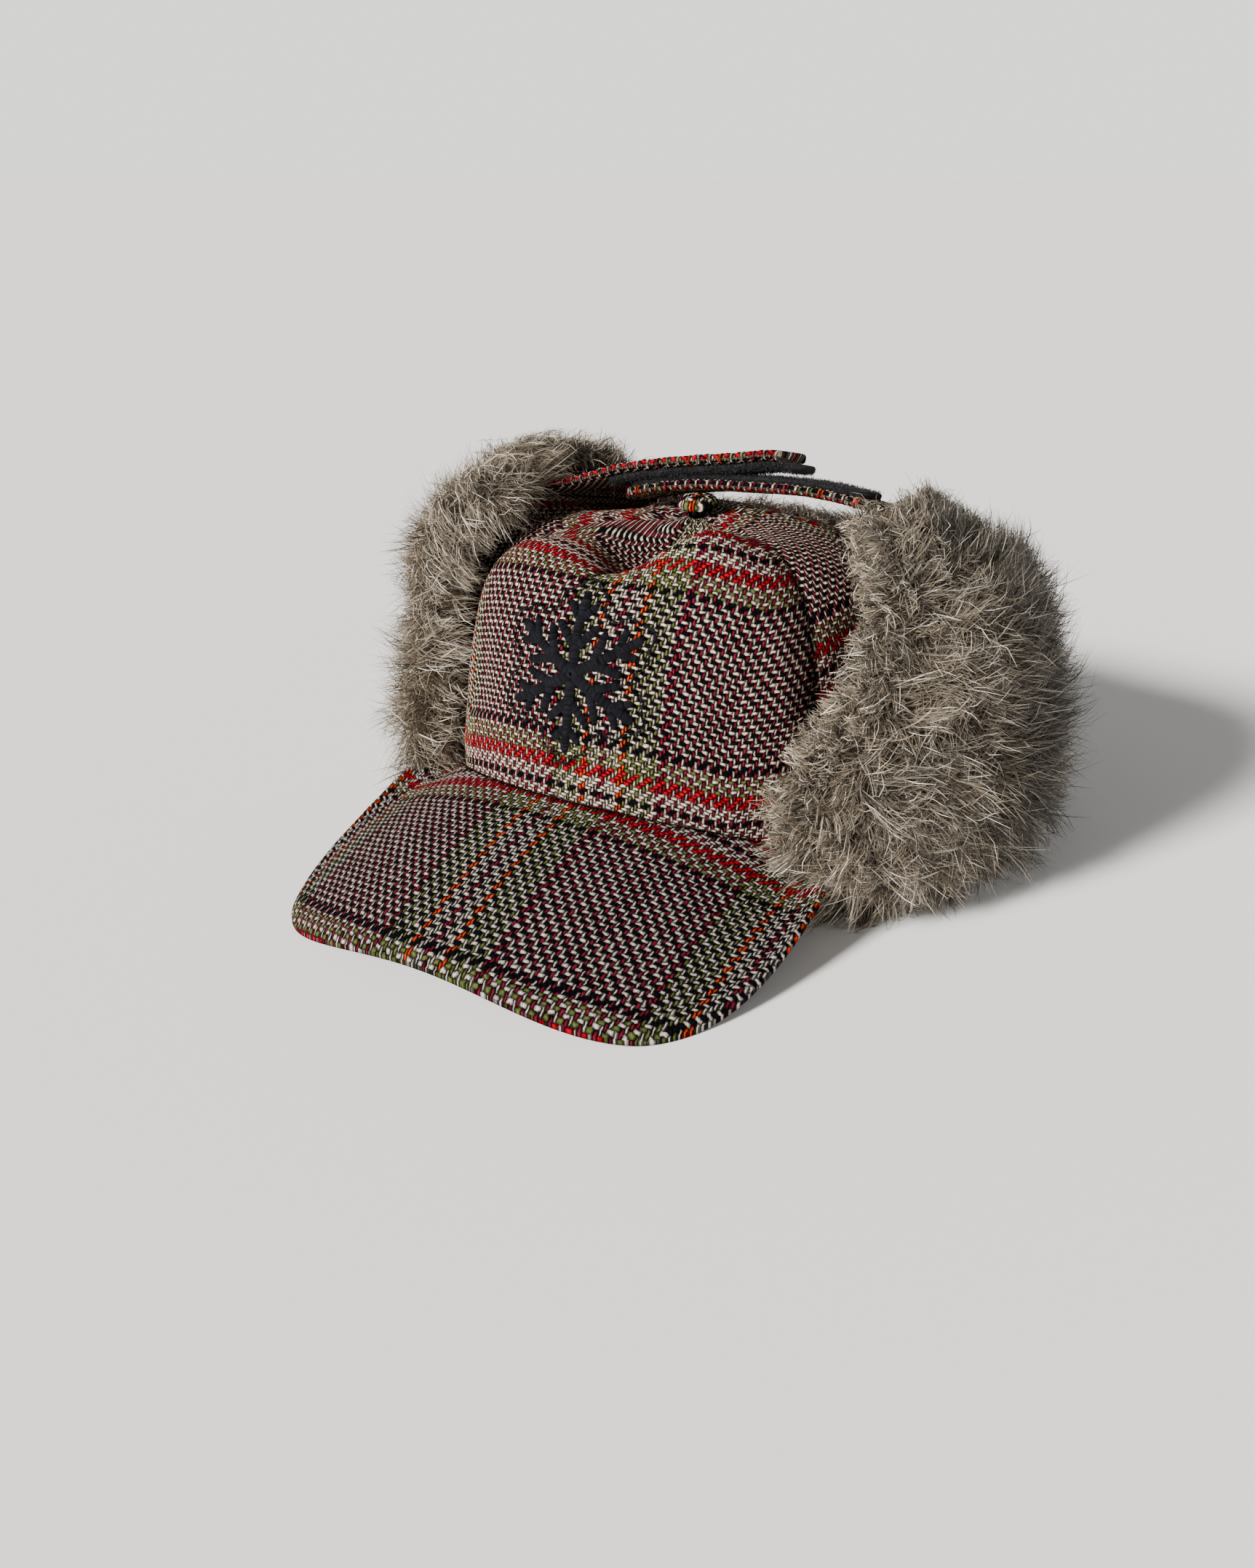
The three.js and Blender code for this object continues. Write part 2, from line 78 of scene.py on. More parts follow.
CROWN = {
    "half_width": 84, "half_length": 94.5, "top": 82, "side_rim": -28, "wall": 2,
    "front_power": 5, "back_power": 2.7, "lean": 0.15, "eyelet": 3, "dome_length": 150,
    "arch": 46, "arch_angle": 66,
}
DENTS = [
    {"x": 0, "y": -33, "depth": 17, "spread_x": 19, "spread_y": 25},
    {"x": -38, "y": -34, "depth": 7, "spread_x": 22, "spread_y": 22},
    {"x": 30, "y": -12, "depth": 3, "spread_x": 24, "spread_y": 20},
    {"x": 12, "y": 48, "depth": 5, "spread_x": 60, "spread_y": 34},
    {"x": -36, "y": 8, "depth": 5, "spread_x": 22, "spread_y": 24},
    {"x": 3, "y": -54, "depth": 5, "spread_x": 11, "spread_y": 15},
    {"x": 34, "y": -52, "depth": -8, "spread_x": 17, "spread_y": 17},
    {"x": -42, "y": -58, "depth": -3, "spread_x": 18, "spread_y": 14},
]
DIMPLES = [
    {"angle": 36, "height": 20, "depth": 3.2, "spread_angle": 9, "spread_height": 14},
    {"angle": -34, "height": 28, "depth": 2, "spread_angle": 10, "spread_height": 16},
    {"angle": 72, "height": 35, "depth": 3, "spread_angle": 8, "spread_height": 25},
]
SEAMS = [60, 120, 180, 240, 300]
SEAM_PINCH = {"depth": 2.6, "spread": 7, "full_radius": 60}
DENTS_BEGIN, DENTS_FULL = 40, 66
SEAM_GAP = 0.3
PEAK = {
    "reach": 73, "half_width": 90, "rear_y": -58, "power": 3.4, "slope": 20, "thickness": 5,
    "droop": 22.6, "droop_at": 80, "seat_angle": 60, "seat_gap": 1.3 * SEAM_GAP,
    "edge_spread": 1.15, "crowning": 3.5,
}
FLAP = {
    "wall": 2, "ear_top": 86, "neck_top": 56, "ear_end": 102, "neck_start": 163,
    "front_low": 60, "front_middle": 72, "top_forward": 10,
    "back_flare": 17, "flare_at": 122, "flare_spread": 36,
    "left_sag": 3, "sag_at": 92, "sag_spread": 34,
}
FLAP_SECTION = {
    "rise": [0, 0.05, 0.1, 0.3, 0.6, 0.85, 1],
    "out": [-1.2, 4, 8.6, 12, 13, 5, -13],
    "height": [-28.62, -31.2, -26, 0, 38, 68, 84],
}
FUR = {
    "pile": 21, "fold_pile": 31, "ear_extra": 7, "curl_in": 7, "bed_share": 0.52, "lumps": 0.22,
    "root_share": 0.46, "highest": 98, "widest": 154,
}
STRAP = {"width": 25, "middle_y": 8, "tilt_back": 12, "tape_width": 20}
LOWER_STRAP = [(88, 80), (70, 85.5), (45, 88.6), (15, 87.4), (0, 86.2), (-15, 83.6), (-34, 79)]
UPPER_STRAP = [
    (-88, 76), (-72, 77.5), (-55, 81), (-34, 88.2), (-15, 92.4), (0, 95), (16, 97.4), (28, 99.6), (38, 99.4),
]
STAR = {"height": 42, "radius": 27, "drawn_radius": 28, "aside": 3}


def bell(x, middle, width):
    return np.exp(-(((x - middle) / width) ** 2))


def blend(x, start, end):
    t = np.clip((np.asarray(x, float) - start) / (end - start), 0, 1)
    return t * t * (3 - 2 * t)


def mix(a, b, t):
    return a + (b - a) * t


def unit(vectors):
    return vectors / np.maximum(np.linalg.norm(vectors, axis=-1, keepdims=True), 1e-9)


def run_along(points, axis):
    """The distance travelled over points along one of their directions, from 0."""
    steps = np.linalg.norm(np.diff(points, axis=axis), axis=-1)
    return np.insert(np.cumsum(steps, axis=axis), 0, 0, axis=axis)


def plan_place(angle, radius):
    """Where a heading and a distance from the middle lead, seen from above."""
    return radius * np.sin(np.radians(angle)), -radius * np.cos(np.radians(angle))


def ripple(x, y, seed, size):
    """Smooth repeatable unevenness from -1 to 1, with features of about that size."""
    turns = np.random.default_rng(seed).uniform(0, 2 * math.pi, (6, 2))
    total = 0
    for k, (heading, phase) in enumerate(turns):
        wave = 2 * math.pi / (size * (0.7 + 0.15 * k))
        total = total + np.sin(wave * (x * math.cos(heading) + y * math.sin(heading)) + phase)
    return total / 6


def rim_height(angle):
    """The crown's lower edge, which arches over the peak and runs level round the back."""
    turn = np.abs((angle + 180) % 360 - 180)
    arch = np.cos(np.radians(np.minimum(turn, CROWN["arch_angle"])))
    return np.maximum(-CROWN["arch"] * (1 - arch), CROWN["side_rim"])


def crown_plan(angle):
    """The crown's radius in plan at a heading, and the squareness and lean of its section there."""
    back = 0.5 - 0.5 * np.cos(np.radians(angle))
    across = np.sin(np.radians(angle)) / CROWN["half_width"]
    along = np.cos(np.radians(angle)) / CROWN["half_length"]
    power = mix(CROWN["front_power"], CROWN["back_power"], np.minimum(1, back * 1.6))
    lean = CROWN["lean"] * (1 - np.minimum(1, back * 1.8))
    return 1 / np.hypot(across, along), power, lean


def soften(angle, radius, height):
    """Adds the seams' pinch, the dimples in the sides and the dents in the top to a plain dome."""
    turn = angle % 360
    for seam in SEAMS:
        pinch = SEAM_PINCH["depth"] * bell(turn, seam, SEAM_PINCH["spread"])
        radius = radius - pinch * np.minimum(1, radius / SEAM_PINCH["full_radius"])
    for d in DIMPLES:
        near = np.abs((angle - d["angle"] + 540) % 360 - 180)
        shape = bell(near, 0, d["spread_angle"]) * bell(height, d["height"], d["spread_height"])
        radius = radius - d["depth"] * shape
    x, y = plan_place(angle, radius)
    z = height
    for d in DENTS:
        shape = bell(x, d["x"], d["spread_x"]) * bell(y, d["y"], d["spread_y"])
        z = z - d["depth"] * shape * blend(height, DENTS_BEGIN, DENTS_FULL)
    return np.stack(np.broadcast_arrays(x, y, z), -1)


def crown_point(angle, up):
    """The crown's outer face, from the rim (up = 0) to the eyelet under the button (up = 1)."""
    angle, up = np.broadcast_arrays(np.asarray(angle, float), np.asarray(up, float))
    radius, power, lean = crown_plan(angle)
    wall_length = -rim_height(angle)
    travelled = up * (wall_length + CROWN["dome_length"]) - wall_length
    last = math.pi / 2 - CROWN["eyelet"] / CROWN["top"]
    polar = np.maximum(travelled, 0) / CROWN["dome_length"] * last
    side = (np.cos(polar) / radius) ** power
    top = (np.sin(polar) / CROWN["top"]) ** power
    reach = (side + top) ** (-1 / power)
    height = reach * np.sin(polar)
    on_dome = travelled >= 0
    wide = np.where(on_dome, reach * np.cos(polar) * (1 - lean * height / radius), radius)
    return soften(angle, wide, np.where(on_dome, height, travelled))


def crown_at_height(angle, height):
    """The crown's outer face at a height over the seam between crown and peak."""
    radius, power, lean = crown_plan(angle)
    k = np.maximum(0, height) / CROWN["top"]
    return soften(angle, (radius - lean * height) * (1 - k**power) ** (1 / power), height)


def normals(surface, a, b, step_a, step_b):
    """Directions away from a surface of two coordinates, from points on either side of each place."""
    along_a = surface(a + step_a, b) - surface(a - step_a, b)
    along_b = surface(a, b + step_b) - surface(a, b - step_b)
    return unit(np.cross(along_a, along_b))


def peak_edge(turn):
    """The peak's outer edge, from one corner (turn = -90) to the other (turn = 90)."""
    power = 2 / PEAK["power"]
    s = np.sin(np.radians(turn))
    x = PEAK["half_width"] * np.sign(s) * np.abs(s) ** power
    front = CROWN["half_length"] + PEAK["reach"] + PEAK["rear_y"]
    y = PEAK["rear_y"] - front * np.cos(np.radians(turn)) ** power
    ahead = -y - CROWN["half_length"]
    z = -PEAK["droop"] * (x / PEAK["droop_at"]) ** 2 - ahead * math.tan(math.radians(PEAK["slope"]))
    return np.stack([x, y, z], -1)


def peak_point(side, out):
    """The peak's middle surface, from the crown (out = 0) to its outer edge (out = 1)."""
    side, out = np.broadcast_arrays(np.asarray(side, float), np.asarray(out, float))
    root = crown_point(side * PEAK["seat_angle"], np.zeros_like(side))
    gap = 1 + PEAK["seat_gap"] / np.hypot(root[..., 0], root[..., 1])
    root = root * np.stack([gap, gap, np.ones_like(gap)], -1)
    edge = peak_edge(90 * np.sign(side) * np.abs(side) ** PEAK["edge_spread"])
    point = root + (edge - root) * out[..., None]
    point[..., 2] += PEAK["crowning"] * np.sin(math.pi * out) * (1 - side**2)
    return point


def smooth_section(values):
    """The flap's section on a fine even scale, with its corners rounded."""
    fine = np.linspace(-0.1, 1.1, 241)
    low, high = FLAP_SECTION["rise"][0], FLAP_SECTION["rise"][-1]
    table = np.interp(fine, FLAP_SECTION["rise"], values)
    first = (values[1] - values[0]) / (FLAP_SECTION["rise"][1] - low)
    final = (values[-1] - values[-2]) / (high - FLAP_SECTION["rise"][-2])
    table = table + np.minimum(fine - low, 0) * first + np.maximum(fine - high, 0) * final
    window = np.ones(9) / 9
    table[4:-4] = np.convolve(table, window, "valid")
    return fine, table


OUT_TABLE = smooth_section(FLAP_SECTION["out"])
HEIGHT_TABLE = smooth_section(FLAP_SECTION["height"])


def flap_point(angle, rise):
    """The middle of the folded flap's cloth; angles run from the front round the wearer's left."""
    angle, rise = np.broadcast_arrays(np.asarray(angle, float), np.asarray(rise, float))
    plain = np.interp(rise, *HEIGHT_TABLE)
    ears = 1 - blend(angle, FLAP["ear_end"], FLAP["neck_start"])
    top = mix(FLAP["neck_top"], FLAP["ear_top"], ears)
    height = np.where(plain < 0, plain, plain * top / FLAP["ear_top"])
    flare = FLAP["back_flare"] * bell(angle, FLAP["flare_at"], FLAP["flare_spread"])
    flare = flare * blend(rise, 0, 0.14) * (1 - 0.6 * blend(rise, 0.35, 1))
    radius, _, _ = crown_plan(angle)
    x, y = plan_place(angle, radius + np.interp(rise, *OUT_TABLE) + flare)
    return np.stack([x, y, height], -1)


def flap_front(rise):
    """The heading of the flap's front edge, from the fold (rise = 0) to the tip (rise = 1)."""
    middle = mix(FLAP["front_low"], FLAP["front_middle"], blend(rise, 0.05, 0.4))
    return middle - FLAP["top_forward"] * blend(rise, 0.6, 1)


def fold_back(angle):
    """The same place on the wearer's left for either side."""
    return np.where(angle > 180, 360 - angle, angle)


def side_sign(angle):
    """1 on the wearer's left and -1 on the right."""
    return np.where(angle > 180, -1.0, 1.0)


def on_flap(angle, rise, distance):
    """A point at a distance outside the flap's cloth; the two sides mirror each other but for a sag."""
    angle, rise = np.broadcast_arrays(np.asarray(angle, float), np.asarray(rise, float))
    folded = fold_back(angle)
    point = flap_point(folded, rise)
    point = point + normals(flap_point, folded, rise, 0.5, 0.004) * np.asarray(distance)[..., None]
    sag = bell(angle, FLAP["sag_at"], FLAP["sag_spread"])
    point[..., 2] -= FLAP["left_sag"] * blend(rise, 0.55, 1) * sag
    flip = side_sign(angle)
    return point * np.stack([flip, np.ones_like(flip), np.ones_like(flip)], -1)


def to_row_frame(points):
    return np.asarray(points, float).reshape(-1, 3) * MM + ORIGIN


def add_to_scene(name, data):
    item = bpy.data.objects.new(name, data)
    bpy.context.scene.collection.objects.link(item)
    return item


def write_mesh(name, points, faces, uv, material):
    """A mesh object from points in millimetres, polygons, and each point's place in the cloth."""
    mesh = bpy.data.meshes.new(name)
    mesh.from_pydata(to_row_frame(points).tolist(), [], [list(map(int, f)) for f in faces])
    layer = mesh.uv_layers.new(name="cloth")
    corners = np.empty(len(mesh.loops), int)
    mesh.loops.foreach_get("vertex_index", corners)
    layer.data.foreach_set("uv", np.asarray(uv, float).reshape(-1, 2)[corners].ravel())
    mesh.polygons.foreach_set("use_smooth", np.ones(len(mesh.polygons), bool))
    mesh.update()
    mesh.materials.append(material)
    return add_to_scene(name, mesh)


def grid_faces(rows, columns, start=0, flip=False):
    i, j = np.meshgrid(np.arange(rows - 1), np.arange(columns - 1), indexing="ij")
    a = start + i * columns + j
    quads = np.stack([a, a + 1, a + columns + 1, a + columns], -1).reshape(-1, 4)
    return quads[:, ::-1] if flip else quads


def slab_faces(rows, columns):
    """Two matching grids closed into one body: outer face, inner face and four borders."""
    below = rows * columns
    ring = np.concatenate([
        np.arange(columns),
        np.arange(1, rows) * columns + columns - 1,
        (rows - 1) * columns + np.arange(columns - 2, -1, -1),
        np.arange(rows - 2, 0, -1) * columns,
    ])
    after = np.roll(ring, -1)
    border = np.stack([ring, ring + below, after + below, after], -1)
    return np.concatenate([grid_faces(rows, columns), grid_faces(rows, columns, below, True), border])


def slab(name, outer, inner, uv, material):
    """A sheet of cloth with a real thickness, from the grids of its two faces, kept off the floor."""
    rows, columns = outer.shape[:2]
    points = np.concatenate([outer.reshape(-1, 3), inner.reshape(-1, 3)])
    points[:, 2] = np.maximum(points[:, 2], FLOOR)
    places = np.concatenate([uv.reshape(-1, 2), uv.reshape(-1, 2)])
    return write_mesh(name, points, slab_faces(rows, columns), places, material)


def finish_piece(piece, slot, *nodes):
    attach(piece, BODY)
    if nodes:
        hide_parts(*nodes)


class Value:
    """One output of a material's nodes, so that sums of nodes are written as plain arithmetic."""

    def __init__(self, nodes, socket):
        self.nodes = nodes
        self.socket = socket

    def __add__(self, other):
        return self.nodes.math("ADD", self, other)

    def __sub__(self, other):
        return self.nodes.math("SUBTRACT", self, other)

    def __rsub__(self, other):
        return self.nodes.math("SUBTRACT", other, self)

    def __mul__(self, other):
        return self.nodes.math("MULTIPLY", self, other)

    def __truediv__(self, other):
        return self.nodes.math("DIVIDE", self, other)

    def __mod__(self, other):
        return self.nodes.math("FLOORED_MODULO", self, other)

    def __pow__(self, other):
        return self.nodes.math("POWER", self, other)

    __radd__ = __add__


class Nodes:
    """Short calls for writing one material's node tree."""

    def __init__(self, name):
        self.material = bpy.data.materials.new(name)
        self.material.use_nodes = True
        self.tree = self.material.node_tree
        self.tree.nodes.clear()

    def add(self, kind, **values):
        node = self.tree.nodes.new(kind)
        for key, value in values.items():
            setattr(node, key, value)
        return node

    def link(self, value, socket):
        if isinstance(value, Value):
            self.tree.links.new(value.socket, socket)
        else:
            socket.default_value = value

    def feed(self, node, values, output=0):
        """Sets or links a node's inputs, by place or name, and gives one of its outputs."""
        for place, value in values.items():
            self.link(value, node.inputs[place])
        return Value(self, node.outputs[output])

    def math(self, operation, a, b=0.0):
        return self.feed(self.add("ShaderNodeMath", operation=operation), {0: a, 1: b})

    def colour(self, factor, a, b, blend_type="MIX"):
        node = self.add("ShaderNodeMix", data_type="RGBA", blend_type=blend_type)
        return self.feed(node, {0: factor, 6: a, 7: b}, 2)

    def number(self, factor, a, b):
        node = self.add("ShaderNodeMix", data_type="FLOAT")
        return self.feed(node, {0: factor, 2: a, 3: b})

    def ramp(self, value, stops, steps=False):
        node = self.add("ShaderNodeValToRGB")
        node.color_ramp.interpolation = "CONSTANT" if steps else "LINEAR"
        elements = node.color_ramp.elements
        while len(elements) < len(stops):
            elements.new(1.0)
        for element, (place, shade) in zip(elements, stops):
            element.position = place
            element.color = (*shade[:3], 1)
        return self.feed(node, {0: value})

    def noise(self, vector, scale, detail=2.0, roughness=0.5):
        node = self.add("ShaderNodeTexNoise", noise_dimensions="3D")
        values = {"Vector": vector, "Scale": scale, "Detail": detail, "Roughness": roughness}
        return self.feed(node, values, "Fac")

    def brightness(self, colour):
        return self.feed(self.add("ShaderNodeRGBToBW"), {0: colour})

    def chance(self, vector):
        node = self.add("ShaderNodeTexWhiteNoise", noise_dimensions="3D")
        return self.feed(node, {"Vector": vector}, "Value")

    def vector(self, x, y, z=0.0):
        return self.feed(self.add("ShaderNodeCombineXYZ"), {0: x, 1: y, 2: z})

    def grey(self, value):
        return self.vector(value, value, value)

    def place(self, uv_name):
        uv = Value(self, self.add("ShaderNodeUVMap", uv_map=uv_name).outputs[0])
        parts = self.add("ShaderNodeSeparateXYZ")
        return self.feed(parts, {0: uv}), Value(self, parts.outputs[1])

    def bump(self, height, distance):
        values = {"Strength": 1.0, "Distance": distance, "Height": height}
        return self.feed(self.add("ShaderNodeBump"), values)

    def shader(self, colour, roughness, **values):
        """Ends the tree with one surface; the values are named after the shader's own inputs."""
        node = self.add("ShaderNodeBsdfPrincipled")
        named = {key.replace("_", " ").title().replace("Ior", "IOR"): value for key, value in values.items()}
        surface = self.feed(node, {"Base Color": colour, "Roughness": roughness, **named})
        self.link(surface, self.add("ShaderNodeOutputMaterial").inputs["Surface"])
        return self.material


REPEAT = 80
HALF_REPEAT = REPEAT / 2


def band_stops(bands):
    """Colour stops over half of one repeat, from the middle of a stripe group outwards."""
    return [(start / HALF_REPEAT, shade) for start, shade in bands]


def tweed_material(name, settings, pale, tone):
    """Twill of alternating pale and dark threads, crossed by plaid stripes both ways; the yarns' rounding is
    painted into the colour as shade and highlight.
    """
    n = Nodes(name)
    cream, maroon, black = pale, settings.maroon, settings.charcoal
    olive, scarlet, orange = settings.olive, settings.scarlet, settings.orange
    u, v = n.place("cloth")
    here, apart = n.vector(u, v), n.vector(v, u, 7.0)
    for scale, amount in ((0.44, 1.0), (1.7, 0.62)):
        u = u + (n.noise(here, scale) - 0.5) * amount
        v = v + (n.noise(apart, scale) - 0.5) * amount
    warp, weft = n.math("FLOOR", u), n.math("FLOOR", v)
    in_warp, in_weft = n.math("FRACT", u), n.math("FRACT", v)
    step = (warp - weft) % 4.0
    warp_shows = n.math("LESS_THAN", step, 1.5)

    def thread_colour(index, odd_bands, even_bands):
        offset = index % float(REPEAT) - (HALF_REPEAT - 0.5)
        place = n.math("ABSOLUTE", offset) / HALF_REPEAT
        even_colour = n.ramp(place, band_stops(even_bands), steps=True)
        odd_colour = n.ramp(place, band_stops(odd_bands), steps=True)
        return n.colour(index % 2.0, even_colour, odd_colour)

    warp_odd = [(0, maroon), (1, cream), (5, orange), (7, olive), (17, maroon), (19, maroon)]
    warp_even = [(0, maroon), (1, cream), (5, orange), (7, cream), (17, maroon), (19, cream)]
    weft_odd = [(0, black), (1, cream), (5, scarlet), (9, olive), (15, black), (17, black)]
    weft_even = [(0, black), (1, cream), (5, scarlet), (9, cream), (15, black), (17, cream)]
    warp_colour = thread_colour(warp, warp_odd, warp_even)
    weft_colour = thread_colour(weft, weft_odd, weft_even)
    colour = n.colour(warp_shows, weft_colour, warp_colour)

    across = n.number(warp_shows, in_weft, in_warp)
    along = n.number(warp_shows, (step - 2.0 + in_warp) * 0.5, (1.0 - step + in_weft) * 0.5)
    fibre = n.noise(n.vector(u * 2.2, v * 2.2), 3.0, 4.0, 0.75)
    half_width = n.number(warp_shows, 0.62, 0.4) + (fibre - 0.5) * 0.5
    half_width = half_width - n.brightness(colour) * settings.pale_thinness
    off_middle = (across - 0.5) / half_width
    round_across = n.math("SQRT", n.math("MAXIMUM", 1.0 - off_middle * off_middle, 0.0))
    round_along = n.math("MAXIMUM", n.math("SINE", along * math.pi), 0.0) ** 0.5
    yarn = round_across * round_along

    luck = n.chance(n.vector(warp * 1.31, weft * 1.73, step))
    hairs = n.vector(across * 5.0 + along * 3.5, along * 1.2, luck * 40.0)
    ply = (n.noise(hairs, 1.0, 3.0, 0.7) - 0.5) * 2.0
    relief = yarn + ply * 0.3 + fibre * 0.55

    # Painted shade and highlight: each yarn darkens towards its edges and into the gaps between yarns,
    # brightens on its crown, and its ply twist is painted as light and dark streaks; the fibre and luck
    # terms are the yarn's own unevenness.
    shade = yarn**2.2 * 1.45 + (fibre - 0.5) * 1.5 + (luck - 0.5) * 0.35
    shade = n.math("MAXIMUM", shade * (1.0 + ply * 0.75), 0.015)
    colour = n.colour(1.0, colour, n.grey(shade), "MULTIPLY")
    haze = n.ramp(fibre, [(0.7, (0, 0, 0)), (0.88, (0.07, 0.06, 0.05))])
    colour = n.colour(1.0, colour, haze, "ADD")
    # The tone multiplies the whole cloth; on the peak it is painted shade that keeps the peak darker than
    # the crown.
    colour = n.colour(1.0, colour, (*tone, 1), "MULTIPLY")
    return n.shader(colour, 0.95, normal=n.bump(relief, settings.relief), specular_ior_level=0.03)


TONE_STEPS = 64


def strand_material(name, root, middle, tip, guard):
    """Pile from dark roots to pale tips; a strand's place holds the distance along it and its tones, painted
    light and shade included.
    """
    n = Nodes(name)
    along, tone = n.place("strand")
    tone = tone * float(TONE_STEPS)
    own = n.math("FRACT", tone)
    lock_tone_and_painted_light = n.math("FLOOR", tone) / float(TONE_STEPS)
    # Dark roots: partly the pile's own dark base, partly painted shade deep in the pile between the locks.
    colour = n.ramp(along, [(0.0, root), (0.42, middle), (0.72, middle), (1.0, tip)])
    dim = (0.2 + lock_tone_and_painted_light * 1.3) * (0.3 + own * 1.1)
    colour = n.colour(1.0, colour, n.grey(dim), "MULTIPLY")
    is_guard = n.math("GREATER_THAN", own, 0.86) * along**1.3
    pale = n.colour(1.0, guard, n.grey(0.3 + lock_tone_and_painted_light * 0.9), "MULTIPLY")
    colour = n.colour(is_guard, colour, pale)
    return n.shader(colour, 0.5, specular_ior_level=0.32, sheen_weight=0.08, sheen_roughness=0.4)


def bed_material(name, dark, light):
    """The short dense underfur, seen only between the locks; its darkness is partly its own colour, partly
    painted shade.
    """
    n = Nodes(name)
    u, v = n.place("cloth")
    streak = n.noise(n.vector(u, v * 0.35), 1.6, 5.0, 0.7)
    colour = n.ramp(streak, [(0.3, dark), (0.75, light)])
    return n.shader(colour, 0.95, normal=n.bump(streak, 0.0012), specular_ior_level=0.1)


def tape_material(name):
    """Black fastening tape with rows of tiny hooks and loops."""
    n = Nodes(name)
    u, v = n.place("cloth")
    nap = n.noise(n.vector(u, v), 5.5, 4.0, 0.8)
    height = nap + n.math("SINE", u * (2 * math.pi)) * 0.15
    colour = n.ramp(nap, [(0.35, (0.002, 0.002, 0.0025)), (0.72, (0.022, 0.022, 0.025))])
    return n.shader(colour, 0.85, normal=n.bump(height, 0.0005), specular_ior_level=0.25)


def satin_material(name, shade):
    """Embroidery thread: each stitch holds its own depth of black, and a fine twist painted as a bluish
    sheen along it.
    """
    n = Nodes(name)
    u, v = n.place("cloth")
    stitch = n.chance(n.vector(n.math("ROUND", v), 1.0))
    twist = n.math("SINE", (u * 9.0 + v) * (2 * math.pi))
    # Painted sheen: along each stitch's twist the black is lightened towards a bluish grey; the random depth
    # of each stitch is the thread's own.
    colour = n.colour(stitch * (0.6 + twist * 0.4), shade, (0.022, 0.023, 0.03, 1))
    return n.shader(colour, 0.45, normal=n.bump(twist, 0.00008), specular_ior_level=0.04)


def crown_cloth_place(points, angles, ups, panel, settings):
    """Thread counts over one panel: across from its grain line, and up from the seam's level."""
    pitch = settings.thread_pitch / MM
    u, v = run_along(points, 1), run_along(points, 0)
    if panel["grain"] <= angles.min():
        grain = u[:, :1]
    elif panel["grain"] >= angles.max():
        grain = u[:, -1:]
    else:
        grain = (u[:, :1] + u[:, -1:]) / 2
    u = u - grain
    wall = -rim_height(angles)
    level = wall / (wall + CROWN["dome_length"])
    for j in range(v.shape[1]):
        v[:, j] -= np.interp(level[j], ups, v[:, j])
    v = v + CLOTH_SAG * np.clip(u, -60, 60) ** 2
    group_u, group_v = panel["group"]
    return np.stack([HALF_REPEAT + (u - group_u) / pitch, HALF_REPEAT + (v - group_v) / pitch], -1)


CLOTH_SAG = 0.003
CROWN_PANELS = [
    {"place": "front_left", "from": 0, "grain": 0, "group": (16.8, 4.6)},
    {"place": "side_left", "from": 60, "grain": 90, "group": (24, 45)},
    {"place": "back_left", "from": 120, "grain": 150, "group": (-12, 14)},
    {"place": "back_right", "from": 180, "grain": 210, "group": (10, 12)},
    {"place": "side_right", "from": 240, "grain": 270, "group": (-20, 18)},
    {"place": "front_right", "from": 300, "grain": 360, "group": (16.8, 4.6)},
]
PANEL_ANGLE = 60
PANEL = {"columns": 45, "rows": 82, "crowding": 0.35, "last_up": 0.995, "softness": 0.45}
VALLEY = {"depth": 1.1, "width": 1.5}


def seam_valley(distance):
    """How far the cloth dips at a distance from a seam."""
    return VALLEY["depth"] * np.exp(-((distance / VALLEY["width"]) ** 2))


def crown_panel(panel, settings, material):
    """One panel between two seams, with the cloth's softness and the dips at its edges."""
    columns, rows = PANEL["columns"], PANEL["rows"]
    ups = np.linspace(0, 1, rows)
    start, end = panel["from"], panel["from"] + PANEL_ANGLE
    inside = crown_point(np.array([[start], [end]]), ups[None, :])
    gap = np.degrees(SEAM_GAP / 2 / np.hypot(inside[..., 0], inside[..., 1]))
    across = np.linspace(0, 1, columns)
    across = mix(across, blend(across, 0, 1), PANEL["crowding"])
    angle = (start + gap[0])[:, None] * (1 - across) + (end - gap[1])[:, None] * across
    up = np.minimum(ups, PANEL["last_up"])[:, None] + 0 * angle
    face = crown_point(angle, up)
    outward = normals(crown_point, angle, up, 0.5, 0.004)
    width = np.linalg.norm(np.diff(face, axis=1), axis=2).sum(axis=1, keepdims=True)
    edge = np.minimum(across, 1 - across)[None, :] * width
    waves = ripple(face[..., 0] + 2 * face[..., 1], face[..., 2], 5, 26)
    softness = PANEL["softness"] * waves * blend(edge, 0, 10)
    top = face + outward * (softness - seam_valley(edge) * blend(width, 0, 12))[..., None]
    under = top - outward * CROWN["wall"]
    uv = crown_cloth_place(top, angle.mean(axis=0), ups, panel, settings)
    return slab(f"cap_panel_{panel['place']}", top, under, uv, material)


PEAK_GROUP = {"seam": 86.4, "spacing": 95.5, "aside": 1.5, "bow": 0.0035, "spread": 0.05, "spread_at": 80}
PEAK_GRID = {"columns": 170, "rows": 44, "widest_side": 0.985, "crowding": 1.35}
PEAK_WRAP = 4.2
CHANNEL = {"from_edge": 9.5, "depth": 0.55, "width": 1.1}
CHANNEL_SWELL = {"from_edge": 5.5, "height": 0.25, "width": 3}


